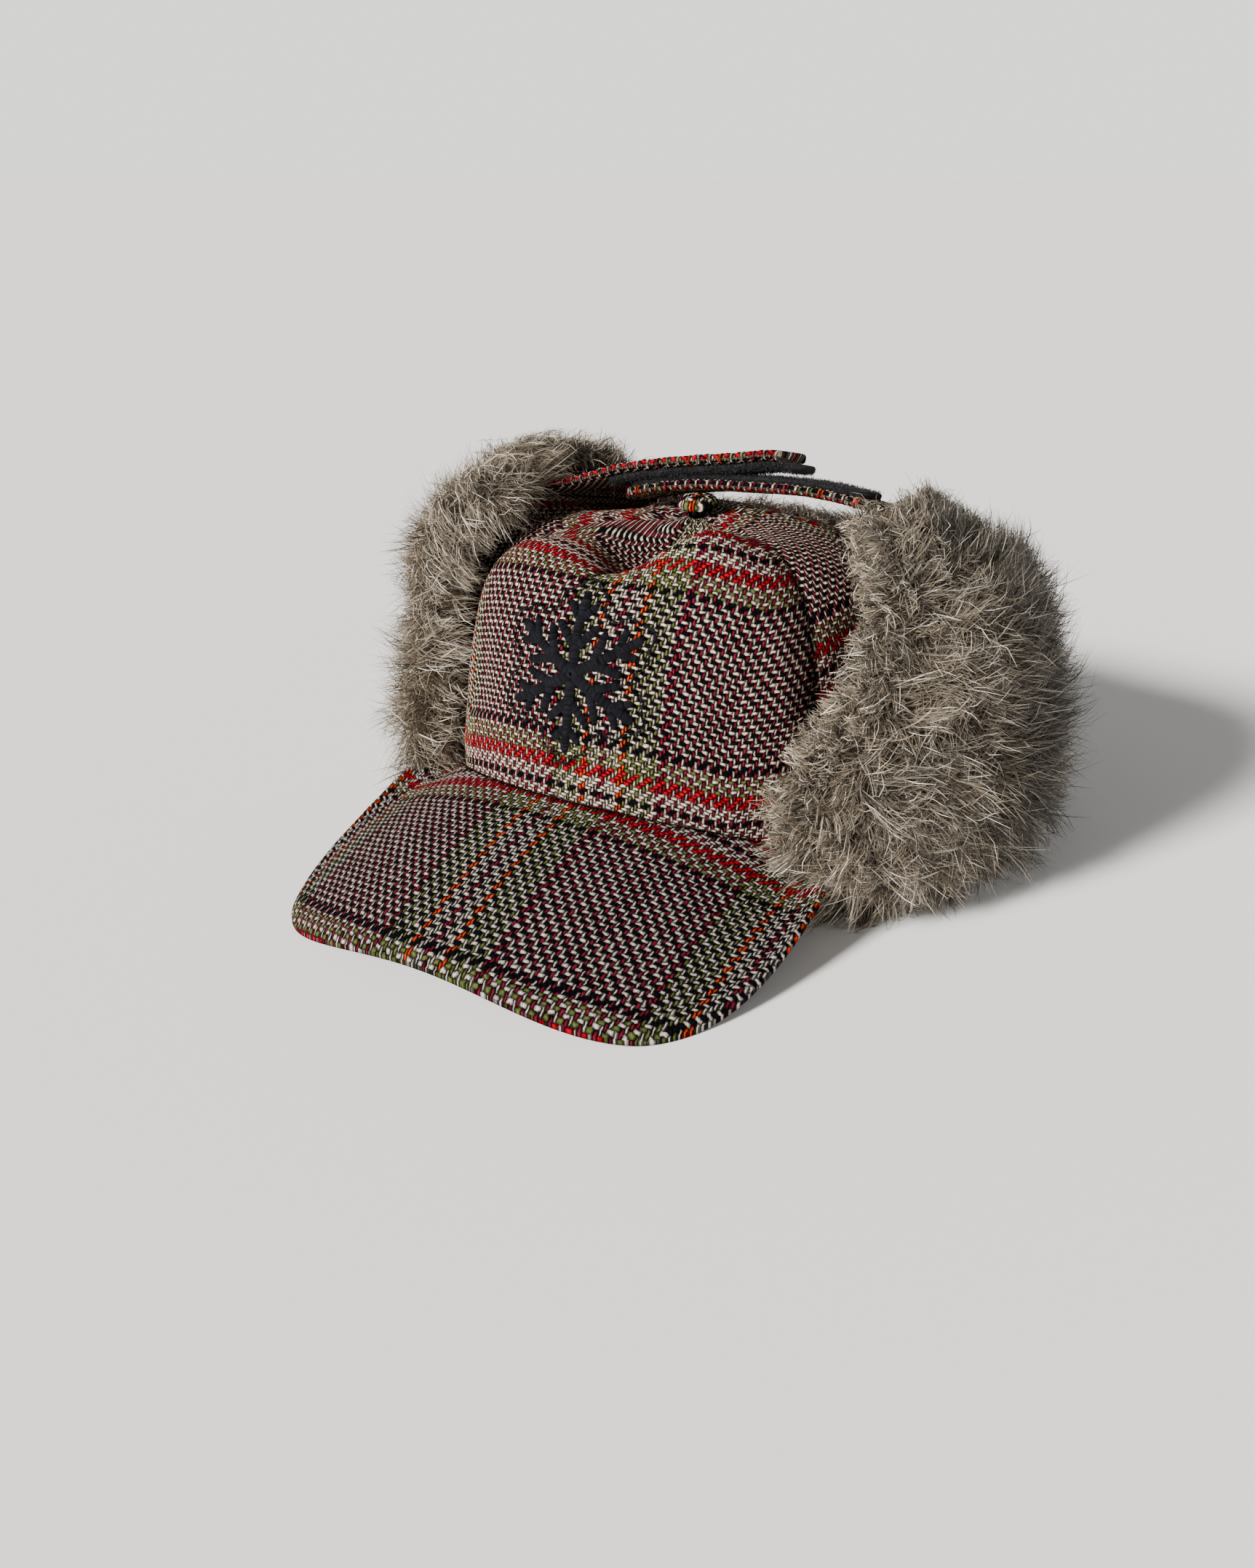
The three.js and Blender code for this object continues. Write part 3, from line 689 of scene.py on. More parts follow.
def peak_cloth(settings, material):
    """The covered peak: cloth wraps a stiff board, with a stitched channel inside its front edge."""
    columns, rows = PEAK_GRID["columns"], PEAK_GRID["rows"]
    side = np.linspace(-PEAK_GRID["widest_side"], PEAK_GRID["widest_side"], columns)[:, None]
    out = 1 - (1 - np.linspace(0, 1, rows)[None, :]) ** PEAK_GRID["crowding"]
    half = PEAK["thickness"] / 2
    centre = peak_point(side, out)
    pitch = settings.thread_pitch / MM
    span = run_along(centre, 0)
    span = span - span[columns // 2]
    x = centre[..., 0]
    ahead = -(centre[..., 1] - PEAK_GROUP["bow"] * x**2)
    widened = x * (1 + PEAK_GROUP["spread"] * (x / PEAK_GROUP["spread_at"]) ** 2)
    u = HALF_REPEAT + (widened - PEAK_GROUP["aside"]) / pitch
    v = HALF_REPEAT - (ahead - PEAK_GROUP["seam"]) * REPEAT / PEAK_GROUP["spacing"]
    from_edge = (1 - out) * np.linalg.norm(centre[:, -1:] - centre[:, :1], axis=2)
    rounding = np.sqrt(np.maximum(0.1, 1 - blend(from_edge, PEAK_WRAP, 0) ** 2))
    channel = CHANNEL["depth"] * bell(from_edge, CHANNEL["from_edge"], CHANNEL["width"])
    swell = bell(from_edge, CHANNEL_SWELL["from_edge"], CHANNEL_SWELL["width"])
    channel = channel - CHANNEL_SWELL["height"] * swell
    knots = 0.14 * np.sin(u * math.pi) * np.sin(v * math.pi) + 0.3 * ripple(span, ahead, 9, 30)
    root = blend(out, 0, 0.05)
    lift = half * rounding - channel * root + knots * root
    centre = centre - np.array([0, 0, half])
    top = centre + np.array([0, 0, 1]) * lift[..., None]
    bottom = centre - np.array([0, 0, 1]) * (half * rounding)[..., None]
    return slab("cap_peak", top, bottom, np.stack([u, v], -1), material)


def flap_sheet(settings, material):
    """The folded flap's own cloth, one sheet from ear to ear."""
    rows, columns = 34, 120
    rise = np.linspace(0, 1, rows)[:, None]
    front = flap_front(rise)
    left_front = np.maximum(front, fur_span(FUR_PATCHES["left"], rise)[0] - 1)
    angle = mix(left_front, 360 - front, np.linspace(0, 1, columns)[None, :])
    face, under = (on_flap(angle, rise, d) for d in (FLAP["wall"] / 2, -FLAP["wall"] / 2))
    places = np.stack([run_along(face, 1), run_along(face, 0)], -1) / (settings.thread_pitch / MM)
    return slab("cap_flap_cloth", face, under, places, material), face


# A patch's tone sets how bright its pile is drawn; the wearer's right patch is painted lighter than the
# left: painted light on the flap that faces the key light.
FUR_PATCHES = {
    "left": {
        "node": "flap_fur_left", "from": 0, "to": 128, "tone": 0.74, "locks": 1150, "edge_locks": 400,
        "forward": [0, 3, 15, 23, 18, 12, 5, -6, -12], "pile": 21, "spikes": 0.03,
        "spill": 10, "low_spill": 19, "top_spill": 11, "front_share": 0.65, "roll": 3, "border": 0.07,
    },
    "neck": {
        "node": "flap_fur_neck", "from": 128, "to": 232, "tone": 0.4, "locks": 1150, "edge_locks": 200,
        "forward": [0] * 9, "pile": 21, "spikes": 0.05,
        "spill": 16, "low_spill": 16, "top_spill": 14, "front_share": 0, "roll": 5, "border": 0,
    },
    "right": {
        "node": "flap_fur_right", "from": 232, "to": 360, "tone": 0.96, "locks": 950, "edge_locks": 540,
        "forward": [0, 1, 3, 3, 1, 0, 0, 0, 0], "pile": 28, "spikes": 0.16,
        "spill": 24, "low_spill": 28, "top_spill": 20, "front_share": 0.6, "roll": 9, "border": 0.15,
    },
}
FORWARD_AT = [0, 0.1, 0.2, 0.35, 0.5, 0.6, 0.75, 0.9, 1]
FLAP_LENGTH = 110
FLAP_ARC = 2


def fur_span(patch, rise):
    """The headings between which a patch of pile lies; the outer patches reach the flap's front."""
    front = flap_front(rise) - np.interp(rise, FORWARD_AT, patch["forward"])
    start = front if patch["from"] == 0 else np.full_like(front, patch["from"])
    end = 360 - front if patch["to"] == 360 else np.full_like(front, patch["to"])
    return start, end


def fur_seat(angle, rise):
    """Where the pile's skin lies: on the flap's cloth, and curling in towards the crown ahead of it."""
    ahead = flap_front(rise) - fold_back(angle)
    return FLAP["wall"] / 2 + SEAM_GAP - FUR["curl_in"] * blend(ahead, 2, 22)


def fur_depth(patch, angle, rise, a):
    """How deep the pile stands on the cloth: thick at the fold, thin at the front edges."""
    open_start = blend(a, 0, 0.12) if patch["from"] == 0 else 1
    open_end = 1 - blend(a, 0.88, 1) if patch["to"] == 360 else 1
    pile = mix(FUR["fold_pile"], FUR["pile"], blend(rise, 0.1, 0.5))
    pile = pile + FUR["ear_extra"] * blend(fold_back(angle), 88, 112) * (1 - blend(rise, 0.25, 0.6))
    edge = np.sqrt(np.maximum(0.1, open_start * open_end))
    return pile * edge * (1 - 0.6 * blend(rise, 0.7, 1)) * mix(0.45, 1, blend(rise, 0, 0.1))


def fur_bed(label, patch, material):
    """The dense underfur that the locks stand in."""
    rows, columns = 34, 46
    rise = np.linspace(0.015, 1, rows)[:, None]
    start, end = fur_span(patch, rise)
    a = np.linspace(0, 1, columns)[None, :]
    angle = mix(start, end, a)
    rise = rise + 0 * angle
    seat = fur_seat(angle, rise)
    lumps = 1 + FUR["lumps"] * ripple(angle * FLAP_ARC, rise * FLAP_LENGTH, 31, 16)
    outer = on_flap(angle, rise, seat + FUR["bed_share"] * fur_depth(patch, angle, rise, a) * lumps)
    inner = on_flap(angle, rise, seat)
    uv = np.stack([angle * FLAP_ARC, rise * FLAP_LENGTH], -1)
    return slab(f"cap_underfur_{label}", outer, inner, uv, material)


def comb_direction(angle, rise, a, patch, dice):
    """Which way the pile lies: forward over the front edges, back round the ears, down at the fold."""
    folded = fold_back(angle)
    along = 1.25 * blend(folded, 80, 108) - 0.25
    if patch["from"] == 0:
        along = along - 1.3 * (1 - blend(a, 0.02, 0.2))
    if patch["to"] == 360:
        along = along - 1.3 * blend(a, 0.8, 0.98)
    parting = np.tanh((rise - 0.4) / 0.07)
    up = 0.3 * parting + 0.5 * blend(rise, 0.8, 1) - 0.65 * (1 - blend(rise, 0.02, 0.28))
    swirl = bell(folded, 80, 24) * bell(rise, 0.62, 0.25)
    turn = dice.uniform(-1, 1, angle.shape) * (0.5 + 2.2 * swirl + 1.2 * (1 - blend(folded, 76, 96)))
    along, up = along * np.cos(turn) - up * np.sin(turn), along * np.sin(turn) + up * np.cos(turn)
    return along * side_sign(angle), up


STRAND_POINTS = 4
LOCK = {"stray": 0.22, "wild_share": 0.06, "wild": 3, "gather": 0.46, "shortest": 0.55, "longest": 1.12}


def flap_axes(angle, rise):
    """Directions on the flap: away from the cloth, level round the head, and up the flap."""
    outward = unit(on_flap(angle, rise, 30) - on_flap(angle, rise, 10))
    level = unit(on_flap(angle + 1, rise, 12) - on_flap(angle - 1, rise, 12))
    climb = unit(np.cross(outward, level))
    return outward, level, climb * np.where(climb[:, 2:3] < 0, -1, 1)


def grow_locks(root, headings, length, axes, settings, dice):
    """Strand paths gathered into locks: each lock follows its headings and its tips draw together."""
    locks, per_lock = len(root), settings.per_lock
    _, level, climb = axes
    lock = np.repeat(np.arange(locks), per_lock)
    count = locks * per_lock
    spread = dice.normal(size=(count, 2)) * settings.lock_spread / MM
    own_length = length[lock] * dice.uniform(LOCK["shortest"], LOCK["longest"], count)
    stray = dice.normal(size=(count, 3)) * LOCK["stray"]
    wild = dice.uniform(size=count) < LOCK["wild_share"]
    stray[wild] *= LOCK["wild"]
    paths = np.empty((count, STRAND_POINTS, 3))
    paths[:, 0] = root[lock] + level[lock] * spread[:, :1] + climb[lock] * spread[:, 1:]
    middle = root[lock].copy()
    piece = own_length[:, None] / (STRAND_POINTS - 1)
    for k, heading in enumerate(headings, start=1):
        paths[:, k] = paths[:, k - 1] + unit(heading[lock] + stray * (0.5 + k / 3)) * piece
        middle = middle + unit(heading[lock]) * piece
        gather = LOCK["gather"] * (k / (STRAND_POINTS - 1)) ** 1.5
        paths[:, k] = mix(paths[:, k], middle, np.where(wild, 0.0, gather)[:, None])
    paths[..., 0] = np.clip(paths[..., 0], -FUR["widest"], FUR["widest"])
    paths[..., 2] = np.clip(paths[..., 2], FLOOR + 0.3, FUR["highest"])
    return paths, lock


def body_locks(patch, settings, dice):
    """Locks all over one patch, lying the way the pile has been brushed."""
    locks = int(patch["locks"] * settings.density)
    a = dice.uniform(0, 1, locks)
    rise = dice.uniform(0.0, 1.0, locks)
    start, end = fur_span(patch, rise)
    angle = mix(start, end, a)
    depth = fur_depth(patch, angle, rise, a)
    root = on_flap(angle, rise, fur_seat(angle, rise) + FUR["root_share"] * depth)
    axes = flap_axes(angle, rise)
    outward, level, climb = axes
    along, up = comb_direction(angle, rise, a, patch, dice)
    comb = level * along[:, None] + climb * up[:, None]
    calm = blend(fold_back(angle), 74, 100)[:, None]
    length = patch["pile"] * dice.uniform(0.7, 1.15, locks) * np.clip(depth / 20, 0.7, 1.2)
    length = length * mix(0.78, 1.15, calm[:, 0]) * (1 - 0.25 * blend(rise, 0.78, 1))
    curl = unit(dice.normal(size=(locks, 3)))
    headings = [
        outward * mix(0.85, 0.1, t) + comb * mix(0.45, 1.3, t) + curl * t * mix(1.0, 0.4, calm)
        for t in (0.17, 0.5, 0.83)
    ]
    paths, lock = grow_locks(root, headings, length, axes, settings, dice)
    streaks = ripple(angle * FLAP_ARC, rise * FLAP_LENGTH, 77, 28)
    # The streaks and the random spread are the pile's own tone; the patch's tone adds painted light on the
    # wearer's right flap.
    tone = patch["tone"] + 0.5 * streaks + dice.normal(size=locks) * 0.27
    # Painted shade: the pile round the side and back of the wearer's left flap, turned away from the key
    # light, is darkened.
    tone = tone - 0.85 * blend(fold_back(angle), 74, 101) * (angle < 180)
    return paths, lock, tone, outward


def spill_locks(patch, settings, dice):
    """Locks along the front border and the top, which fall over the cloth's edge towards the crown."""
    locks = int(patch["edge_locks"] * settings.density)
    front_share = patch["front_share"]
    at_front = dice.uniform(size=locks) < front_share
    rise = np.where(at_front, dice.uniform(0.02, 1.0, locks), dice.uniform(0.9, 1.02, locks))
    near = dice.uniform(-0.02, patch["border"], locks)
    a = np.where(at_front, near, dice.uniform(0, 1, locks))
    if patch["to"] == 360:
        a = 1 - a
    start, end = fur_span(patch, rise)
    angle = mix(start, end, a)
    axes = flap_axes(angle, rise)
    outward, level, climb = axes
    upright = ~at_front * blend(fold_back(angle), 88, 108)
    roll = patch["roll"] * (1 - 0.9 * upright)
    root = on_flap(angle, rise, fur_seat(angle, rise) + dice.uniform(-roll, 9, locks))
    folded_forward = -level * side_sign(angle)[:, None]
    over = np.where(at_front[:, None], folded_forward, climb * 0.7)
    low = (at_front * (1 - blend(rise, 0.1, 0.42)))[:, None]
    inward = dice.uniform(0.1, 1.1, locks)[:, None] * (1 - 0.6 * low) * (1 - 0.9 * upright[:, None])
    spike = ~at_front & (dice.uniform(size=locks) < patch["spikes"])
    inward[spike] = -0.1
    over = np.where(spike[:, None], climb * 1.6, over)
    curl = unit(dice.normal(size=(locks, 3)))
    droop = climb * (-0.5 * low)
    headings = [
        outward * 0.5 + over * (0.7 + 0.2 * low) + curl * 0.45,
        over * (0.8 + 0.6 * low) - outward * inward * 0.5 + curl * 0.65 + droop,
        over * (0.2 + low) - outward * inward + curl * 0.8 + droop,
    ]
    reach = np.where(at_front, mix(patch["spill"], patch["low_spill"], low[:, 0]), patch["top_spill"])
    length = reach * dice.uniform(0.65, 1.15, locks) * np.where(spike, 1.25, 1) * (1 - 0.4 * upright)
    paths, lock = grow_locks(root, headings, length, axes, settings, dice)
    streaks = ripple(angle * 3, rise * FLAP_LENGTH, 78, 20)
    # The patch's tone brings its painted light along to the spilling locks.
    tone = patch["tone"] + 0.12 + 0.3 * streaks + dice.normal(size=locks) * 0.16
    return paths, lock, tone, outward


def strand_mesh(name, groups, width, material, dice):
    """All strands of some groups of locks as thin tapering ribbons in one mesh."""
    paths = np.concatenate([paths for paths, _, _, _ in groups])
    # A lock's tone carries the painted light and shade set for its patch and place as well as its own tone.
    lock_tone_and_painted_light = np.concatenate([np.clip(tone, 0, 0.98)[lock] for _, lock, tone, _ in groups])
    outward = np.concatenate([outward[lock] for _, lock, _, outward in groups])
    count = len(paths)
    own_tone = dice.uniform(0, 0.999, count)
    heading = unit(np.gradient(paths, axis=1))
    side = unit(np.cross(heading, outward[:, None, :]))
    other = np.cross(heading, side)
    twist = dice.normal(size=(count, 1, 1)) * 0.7
    side = side * np.cos(twist) + other * np.sin(twist)
    taper = np.array([1.0, 0.95, 0.7]) * width / 2
    left = paths[:, :3] - side[:, :3] * taper[None, :, None]
    right = paths[:, :3] + side[:, :3] * taper[None, :, None]
    points = np.concatenate([left, right, paths[:, 3:]], axis=1).reshape(-1, 3)
    pattern = np.array([0, 3, 1, 3, 4, 1, 1, 4, 2, 4, 5, 2, 2, 5, 6])
    corners = (np.arange(count)[:, None] * 7 + pattern[None, :]).ravel()
    mesh = bpy.data.meshes.new(name)
    mesh.vertices.add(len(points))
    mesh.vertices.foreach_set("co", to_row_frame(points).ravel())
    mesh.loops.add(len(corners))
    mesh.loops.foreach_set("vertex_index", corners)
    mesh.polygons.add(len(corners) // 3)
    mesh.polygons.foreach_set("loop_start", np.arange(0, len(corners), 3))
    mesh.polygons.foreach_set("use_smooth", np.ones(len(corners) // 3, bool))
    along = np.array([0, 0.33, 0.66, 0, 0.33, 0.66, 1.0])[pattern]
    tone = (np.floor(lock_tone_and_painted_light * (TONE_STEPS - 1)) + own_tone) / TONE_STEPS
    uv = np.stack([np.tile(along, count), np.repeat(tone, len(pattern))], -1)
    layer = mesh.uv_layers.new(name="strand")
    layer.data.foreach_set("uv", uv.ravel())
    mesh.update(calc_edges=True)
    mesh.materials.append(material)
    return add_to_scene(name, mesh)


def catmull(stations, values):
    """Points of a smooth curve through stations, at values from 0 to 1 by station."""
    stations = np.asarray(stations, float)
    padded = np.concatenate([[2 * stations[0] - stations[1]], stations, [2 * stations[-1] - stations[-2]]])
    place = np.clip(values, 0, 1) * (len(stations) - 1)
    k = np.minimum(place.astype(int), len(stations) - 2)
    t = (place - k)[:, None]
    p0, p1, p2, p3 = (padded[k + i] for i in range(4))
    curve = 2 * p1 + (p2 - p0) * t
    curve = curve + (2 * p0 - 5 * p1 + 4 * p2 - p3) * t**2
    curve = curve + (3 * p1 - p0 - 3 * p2 + p3) * t**3
    return 0.5 * curve


RIBBON_STEPS, RIBBON_SIDES = 220, 22
STRAP_CLOTH = {"width": STRAP["width"], "thickness": 3.8, "lift": 0.3, "beads": 0.22, "slot": "plaid_tweed"}
STRAP_TAPE = {
    "width": STRAP["tape_width"], "thickness": 3, "beads": 0, "slot": "black_tape",
    "grain": 0, "cross_grain": 0,
}
STRAPS = [
    {
        **STRAP_CLOTH, "node": "strap_lower", "stations": LOWER_STRAP, "span": (0, 1),
        "round_end": True, "grain": 10, "cross_grain": -9,
    },
    {
        **STRAP_CLOTH, "node": "strap_upper", "stations": UPPER_STRAP, "span": (0, 0.93),
        "round_end": False, "grain": 34, "cross_grain": 24,
    },
    {
        **STRAP_TAPE, "node": "tape_loop", "stations": LOWER_STRAP, "span": (0.22, 0.98),
        "round_end": True, "lift": 2.9, "free_side": 1, "length": 125, "seed": 51,
    },
    {
        **STRAP_TAPE, "node": "tape_hook", "stations": UPPER_STRAP, "span": (0.35, 1),
        "round_end": False, "lift": -2.9, "free_side": -1, "length": 132, "seed": 52,
    },
]


def strap_route(stations, values):
    """Middle points of a strap, with the directions across it and away from its face."""
    route = catmull(stations, values)
    after, before = np.clip(values + 0.002, 0, 1), np.clip(values - 0.002, 0, 1)
    nearby = catmull(stations, after) - catmull(stations, before)
    tilt = math.radians(STRAP["tilt_back"])
    across = np.array([0, math.cos(tilt), -math.sin(tilt)])
    tangent = unit(np.stack([nearby[:, 0], np.zeros(len(values)), nearby[:, 1]], -1))
    normal = unit(np.cross(tangent, across))
    normal = normal * np.where(normal[:, 2:3] < 0, -1, 1)
    centre = np.stack([route[:, 0], np.full(len(values), float(STRAP["middle_y"])), route[:, 1]], -1)
    return centre, across, normal


def end_width(from_end, width, round_end):
    """Share of the full width left near a strap's rounded end."""
    if not round_end:
        return np.ones(len(from_end))
    near = np.clip(1 - from_end / (width / 2), 0, 1)
    return np.sqrt(np.maximum(0.03, 1 - near**2))


def ribbon(name, strap, settings, material):
    """A flat strap along its stations: a rounded cross-section carried along a smooth curve."""
    width, thickness = strap["width"], strap["thickness"]
    steps, around = RIBBON_STEPS, RIBBON_SIDES
    centre, across, normal = strap_route(strap["stations"], np.linspace(*strap["span"], steps))
    run = run_along(centre, 0)
    narrow = end_width(run[-1] - run, width, strap["round_end"])
    turn = np.linspace(0, 2 * math.pi, around, endpoint=False)
    ring_x = np.sign(np.cos(turn)) * np.abs(np.cos(turn)) ** 0.3
    ring_z = np.sign(np.sin(turn)) * np.abs(np.sin(turn)) ** 0.75
    pitch = settings.thread_pitch / MM
    dice = np.random.default_rng(6)
    knots = dice.uniform(0.2, 1.6, (int(run[-1] / pitch) + 2, 1))[(run / pitch).astype(int)]
    wobble = 0.5 * ripple(run[:, None], 3 * np.abs(turn - math.pi), 8, 9)
    swell = knots * np.sin(run[:, None] * math.pi / pitch) + wobble
    bead = 1 + strap["beads"] * swell * np.abs(ring_x) ** 3
    centre = centre + normal * strap["lift"]
    wide = (width / 2 * narrow)[:, None] * ring_x + 1.4 * (bead - 1) * ring_x
    thick = thickness / 2 * ring_z * bead
    points = centre[:, None] + across * wide[..., None] + normal[:, None] * thick[..., None]
    faces = tube_faces(steps, around)
    girth = np.where(turn <= math.pi, 1, -1) * (width / 2) * (1 - ring_x)
    u = np.broadcast_to(run[:, None], (steps, around)) / pitch + strap["grain"]
    v = np.broadcast_to(girth[None, :], (steps, around)) / pitch + strap["cross_grain"]
    return write_mesh(name, points.reshape(-1, 3), faces, np.stack([u, v], -1), material)


def tube_faces(steps, around):
    """Side faces and two end caps for rings of points laid one after another."""
    def corner(i, j):
        return i * around + j % around

    faces = [
        (corner(i, j), corner(i, j + 1), corner(i + 1, j + 1), corner(i + 1, j))
        for i in range(steps - 1) for j in range(around)
    ]
    return faces + [tuple(range(around))[::-1], tuple(corner(steps - 1, j) for j in range(around))]


NAP = {"strands": 6000, "edge_share": 0.35, "shortest": 0.5, "longest": 1.7, "width": 0.22}


def tape_nap(name, strap, material):
    """The black fuzz of hooks and loops standing on a tape's free face and round its edges."""
    dice = np.random.default_rng(strap["seed"])
    count, side = NAP["strands"], strap["free_side"]
    f = dice.uniform(*strap["span"], count)
    centre, across, normal = strap_route(strap["stations"], f)
    narrow = end_width((strap["span"][1] - f) * strap["length"], strap["width"], strap["round_end"])
    aside = dice.uniform(-1, 1, count)
    edge = dice.uniform(size=count) < NAP["edge_share"]
    aside = np.where(edge, np.sign(aside), aside)
    root = centre + normal * strap["lift"] + across * (aside * narrow * strap["width"] / 2)[:, None]
    off_face = side * strap["thickness"] * 0.45 * np.where(edge, dice.uniform(-1, 1, count), 1)
    root = root + normal * off_face[:, None]
    away = normal * side + across * (aside * 0.9)[:, None]
    paths = np.empty((count, STRAND_POINTS, 3))
    paths[:, 0] = root
    length = dice.uniform(NAP["shortest"], NAP["longest"], count)
    for k in range(1, STRAND_POINTS):
        heading = away + dice.normal(size=(count, 3)) * 0.7
        paths[:, k] = paths[:, k - 1] + unit(heading) * (length / (STRAND_POINTS - 1))[:, None]
    groups = [(paths, np.arange(count), np.full(count, 0.5), unit(away))]
    return strand_mesh(name, groups, NAP["width"], material, dice)


BUTTON_PROFILE = [(6.9, 0.4), (7.6, 1.5), (7.3, 3.0), (6.0, 4.6), (3.4, 5.6), (0.05, 5.9)]
BUTTON_PLEATS = 12


def button_dome(settings, material):
    """A covered button: domed cloth gathered under its rim."""
    rows, columns = 16, 48
    low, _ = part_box("top_button")
    seat = (low[2] - ORIGIN[2]) / MM
    profile = catmull(BUTTON_PROFILE, np.linspace(0, 1, rows))
    turn = np.linspace(0, 2 * math.pi, columns, endpoint=False)
    pleats = 1 + 0.025 * np.sin(turn * BUTTON_PLEATS) * (1 - np.linspace(0, 1, rows)[:, None]) ** 2
    x = profile[:, :1] * np.cos(turn) * pleats
    y = profile[:, :1] * np.sin(turn) * pleats
    z = seat + profile[:, 1:] + 0.12 * np.sin(x * 2.9) * np.sin(y * 2.9)
    points = np.stack([x, y, np.broadcast_to(z, x.shape)], -1).reshape(-1, 3)
    faces = tube_faces(rows, columns)
    pitch = settings.thread_pitch / MM
    uv = np.stack([HALF_REPEAT + 5.0 + x / pitch, HALF_REPEAT + 20 + y / pitch], -1)
    return write_mesh("cap_button", points, faces, uv, material)


def on_front(x, rise):
    """The crown's front under the star, with x across and rise up from the star's middle."""
    height = STAR["height"] + rise
    middle = crown_at_height(np.zeros_like(x), height)
    return crown_at_height(np.degrees(np.arcsin(x / -middle[..., 1])), height)


ARM_ANGLE = 60
ARM_BANDS = [
    {"from": (0.6, 0), "to": (27, 0), "width": (4.2, 3.2)},
    {"from": (9.0, 0.4), "to": (16.6, 7.8), "width": (3.4, 2.9)},
    {"from": (9.0, -0.4), "to": (16.6, -7.8), "width": (3.4, 2.9)},
    {"from": (18.2, 0.4), "to": (23.4, 5.3), "width": (3, 2.6)},
    {"from": (18.2, -0.4), "to": (23.4, -5.3), "width": (3, 2.6)},
]
SATIN = {"lift": 0.2, "arch": 0.8, "thick": 0.42, "slant": 0.12, "unevenness": 0.04, "end_taper": 1.6}
OUTLINE = {"lift": 0.95, "arch": 0.4, "thick": 0.9, "clear": 2.3, "stitch": 2.4, "nearest": 8, "steps": 120}


def turned(points, arm):
    """Places drawn along one arm, turned to that arm's heading on the front and brought to size."""
    turn = math.radians(90 + ARM_ANGLE * arm)
    points = np.asarray(points, float)
    along, aside = points[..., 0], points[..., 1]
    x = along * math.cos(turn) - aside * math.sin(turn)
    y = along * math.sin(turn) + aside * math.cos(turn)
    return np.stack([x, y], -1) * (STAR["radius"] / STAR["drawn_radius"]) + np.array([STAR["aside"], 0])


def stitches(name, starts, ends, thread, material):
    """Thread stitches between pairs of points on the crown's front, each a low rounded arch."""
    along = np.linspace(0, 1, 6)
    flat = starts[:, None] + (ends - starts)[:, None] * along[None, :, None]
    across = unit(np.stack([-(ends - starts)[:, 1], (ends - starts)[:, 0]], -1))
    rounding = np.sin(math.pi * along) ** 0.5
    half_wide = thread["thick"] / 2 * (0.55 + 0.45 * rounding)
    points, uv = [], []
    for offset, share in ((-1, 0.0), (0, 1.0), (1, 0.0)):
        place = flat + across[:, None] * (offset * half_wide)[None, :, None]
        x, rise = place[..., 0], place[..., 1]
        outward = normals(on_front, x, rise, 0.5, 0.5)
        height = thread["lift"] + thread["arch"] * rounding[None, :] + thread["thick"] * 0.5 * share
        points.append(on_front(x, rise) + outward * height[..., None])
        order = np.arange(len(starts))[:, None] + offset * 0.3
        uv.append(np.stack(np.broadcast_arrays(along[None, :], order), -1))
    points = np.stack(points, 2)
    uv = np.stack(uv, 2)
    count, steps = points.shape[:2]
    base = np.arange(count)[:, None, None] * steps * 3 + np.arange(steps - 1)[None, :, None] * 3
    base = base + np.arange(2)[None, None, :]
    faces = np.stack([base, base + 1, base + 4, base + 3], -1).reshape(-1, 4)
    return write_mesh(name, points.reshape(-1, 3), faces, uv, material)


def satin_star(settings, material):
    """Six arms of satin stitch laid side by side across each band."""
    starts, ends = [], []
    dice = np.random.default_rng(4)
    for arm in range(6):
        for band in ARM_BANDS:
            a, b = np.array(band["from"], float), np.array(band["to"], float)
            length = np.linalg.norm(b - a)
            count = int(length / settings.stitch_spacing * MM)
            t = (np.arange(count) + 0.5) / count
            axis = (b - a) / length
            side = np.array([-axis[1], axis[0]])
            slant = axis * SATIN["slant"]
            ending = np.sqrt(np.minimum(1, (1 - t) * length / SATIN["end_taper"] + 0.15))
            width = mix(*band["width"], t) * ending
            middle = a + (b - a) * t[:, None] + dice.normal(size=(count, 1)) * SATIN["unevenness"]
            starts.append(turned(middle - (side - slant) * (width / 2)[:, None], arm))
            ends.append(turned(middle + (side - slant) * (width / 2)[:, None], arm))
    return stitches("cap_star", np.concatenate(starts), np.concatenate(ends), SATIN, material)


def outline_reach(heading):
    """How far from the star's middle its outline runs, for headings measured from one arm."""
    far = np.linspace(OUTLINE["nearest"], 32, 240)[None, :]
    places = np.stack([far * np.cos(heading)[:, None], far * np.sin(heading)[:, None]], -1)
    inside = np.zeros(places.shape[:2], bool)
    for band in ARM_BANDS:
        a, b = np.array(band["from"], float), np.array(band["to"], float)
        t = np.clip((places - a) @ (b - a) / ((b - a) @ (b - a)), 0, 1)
        away = np.linalg.norm(places - a - (b - a) * t[..., None], axis=-1)
        inside |= away < mix(*band["width"], t) / 2 + OUTLINE["clear"]
    return np.max(np.where(inside, far, OUTLINE["nearest"]), axis=1)


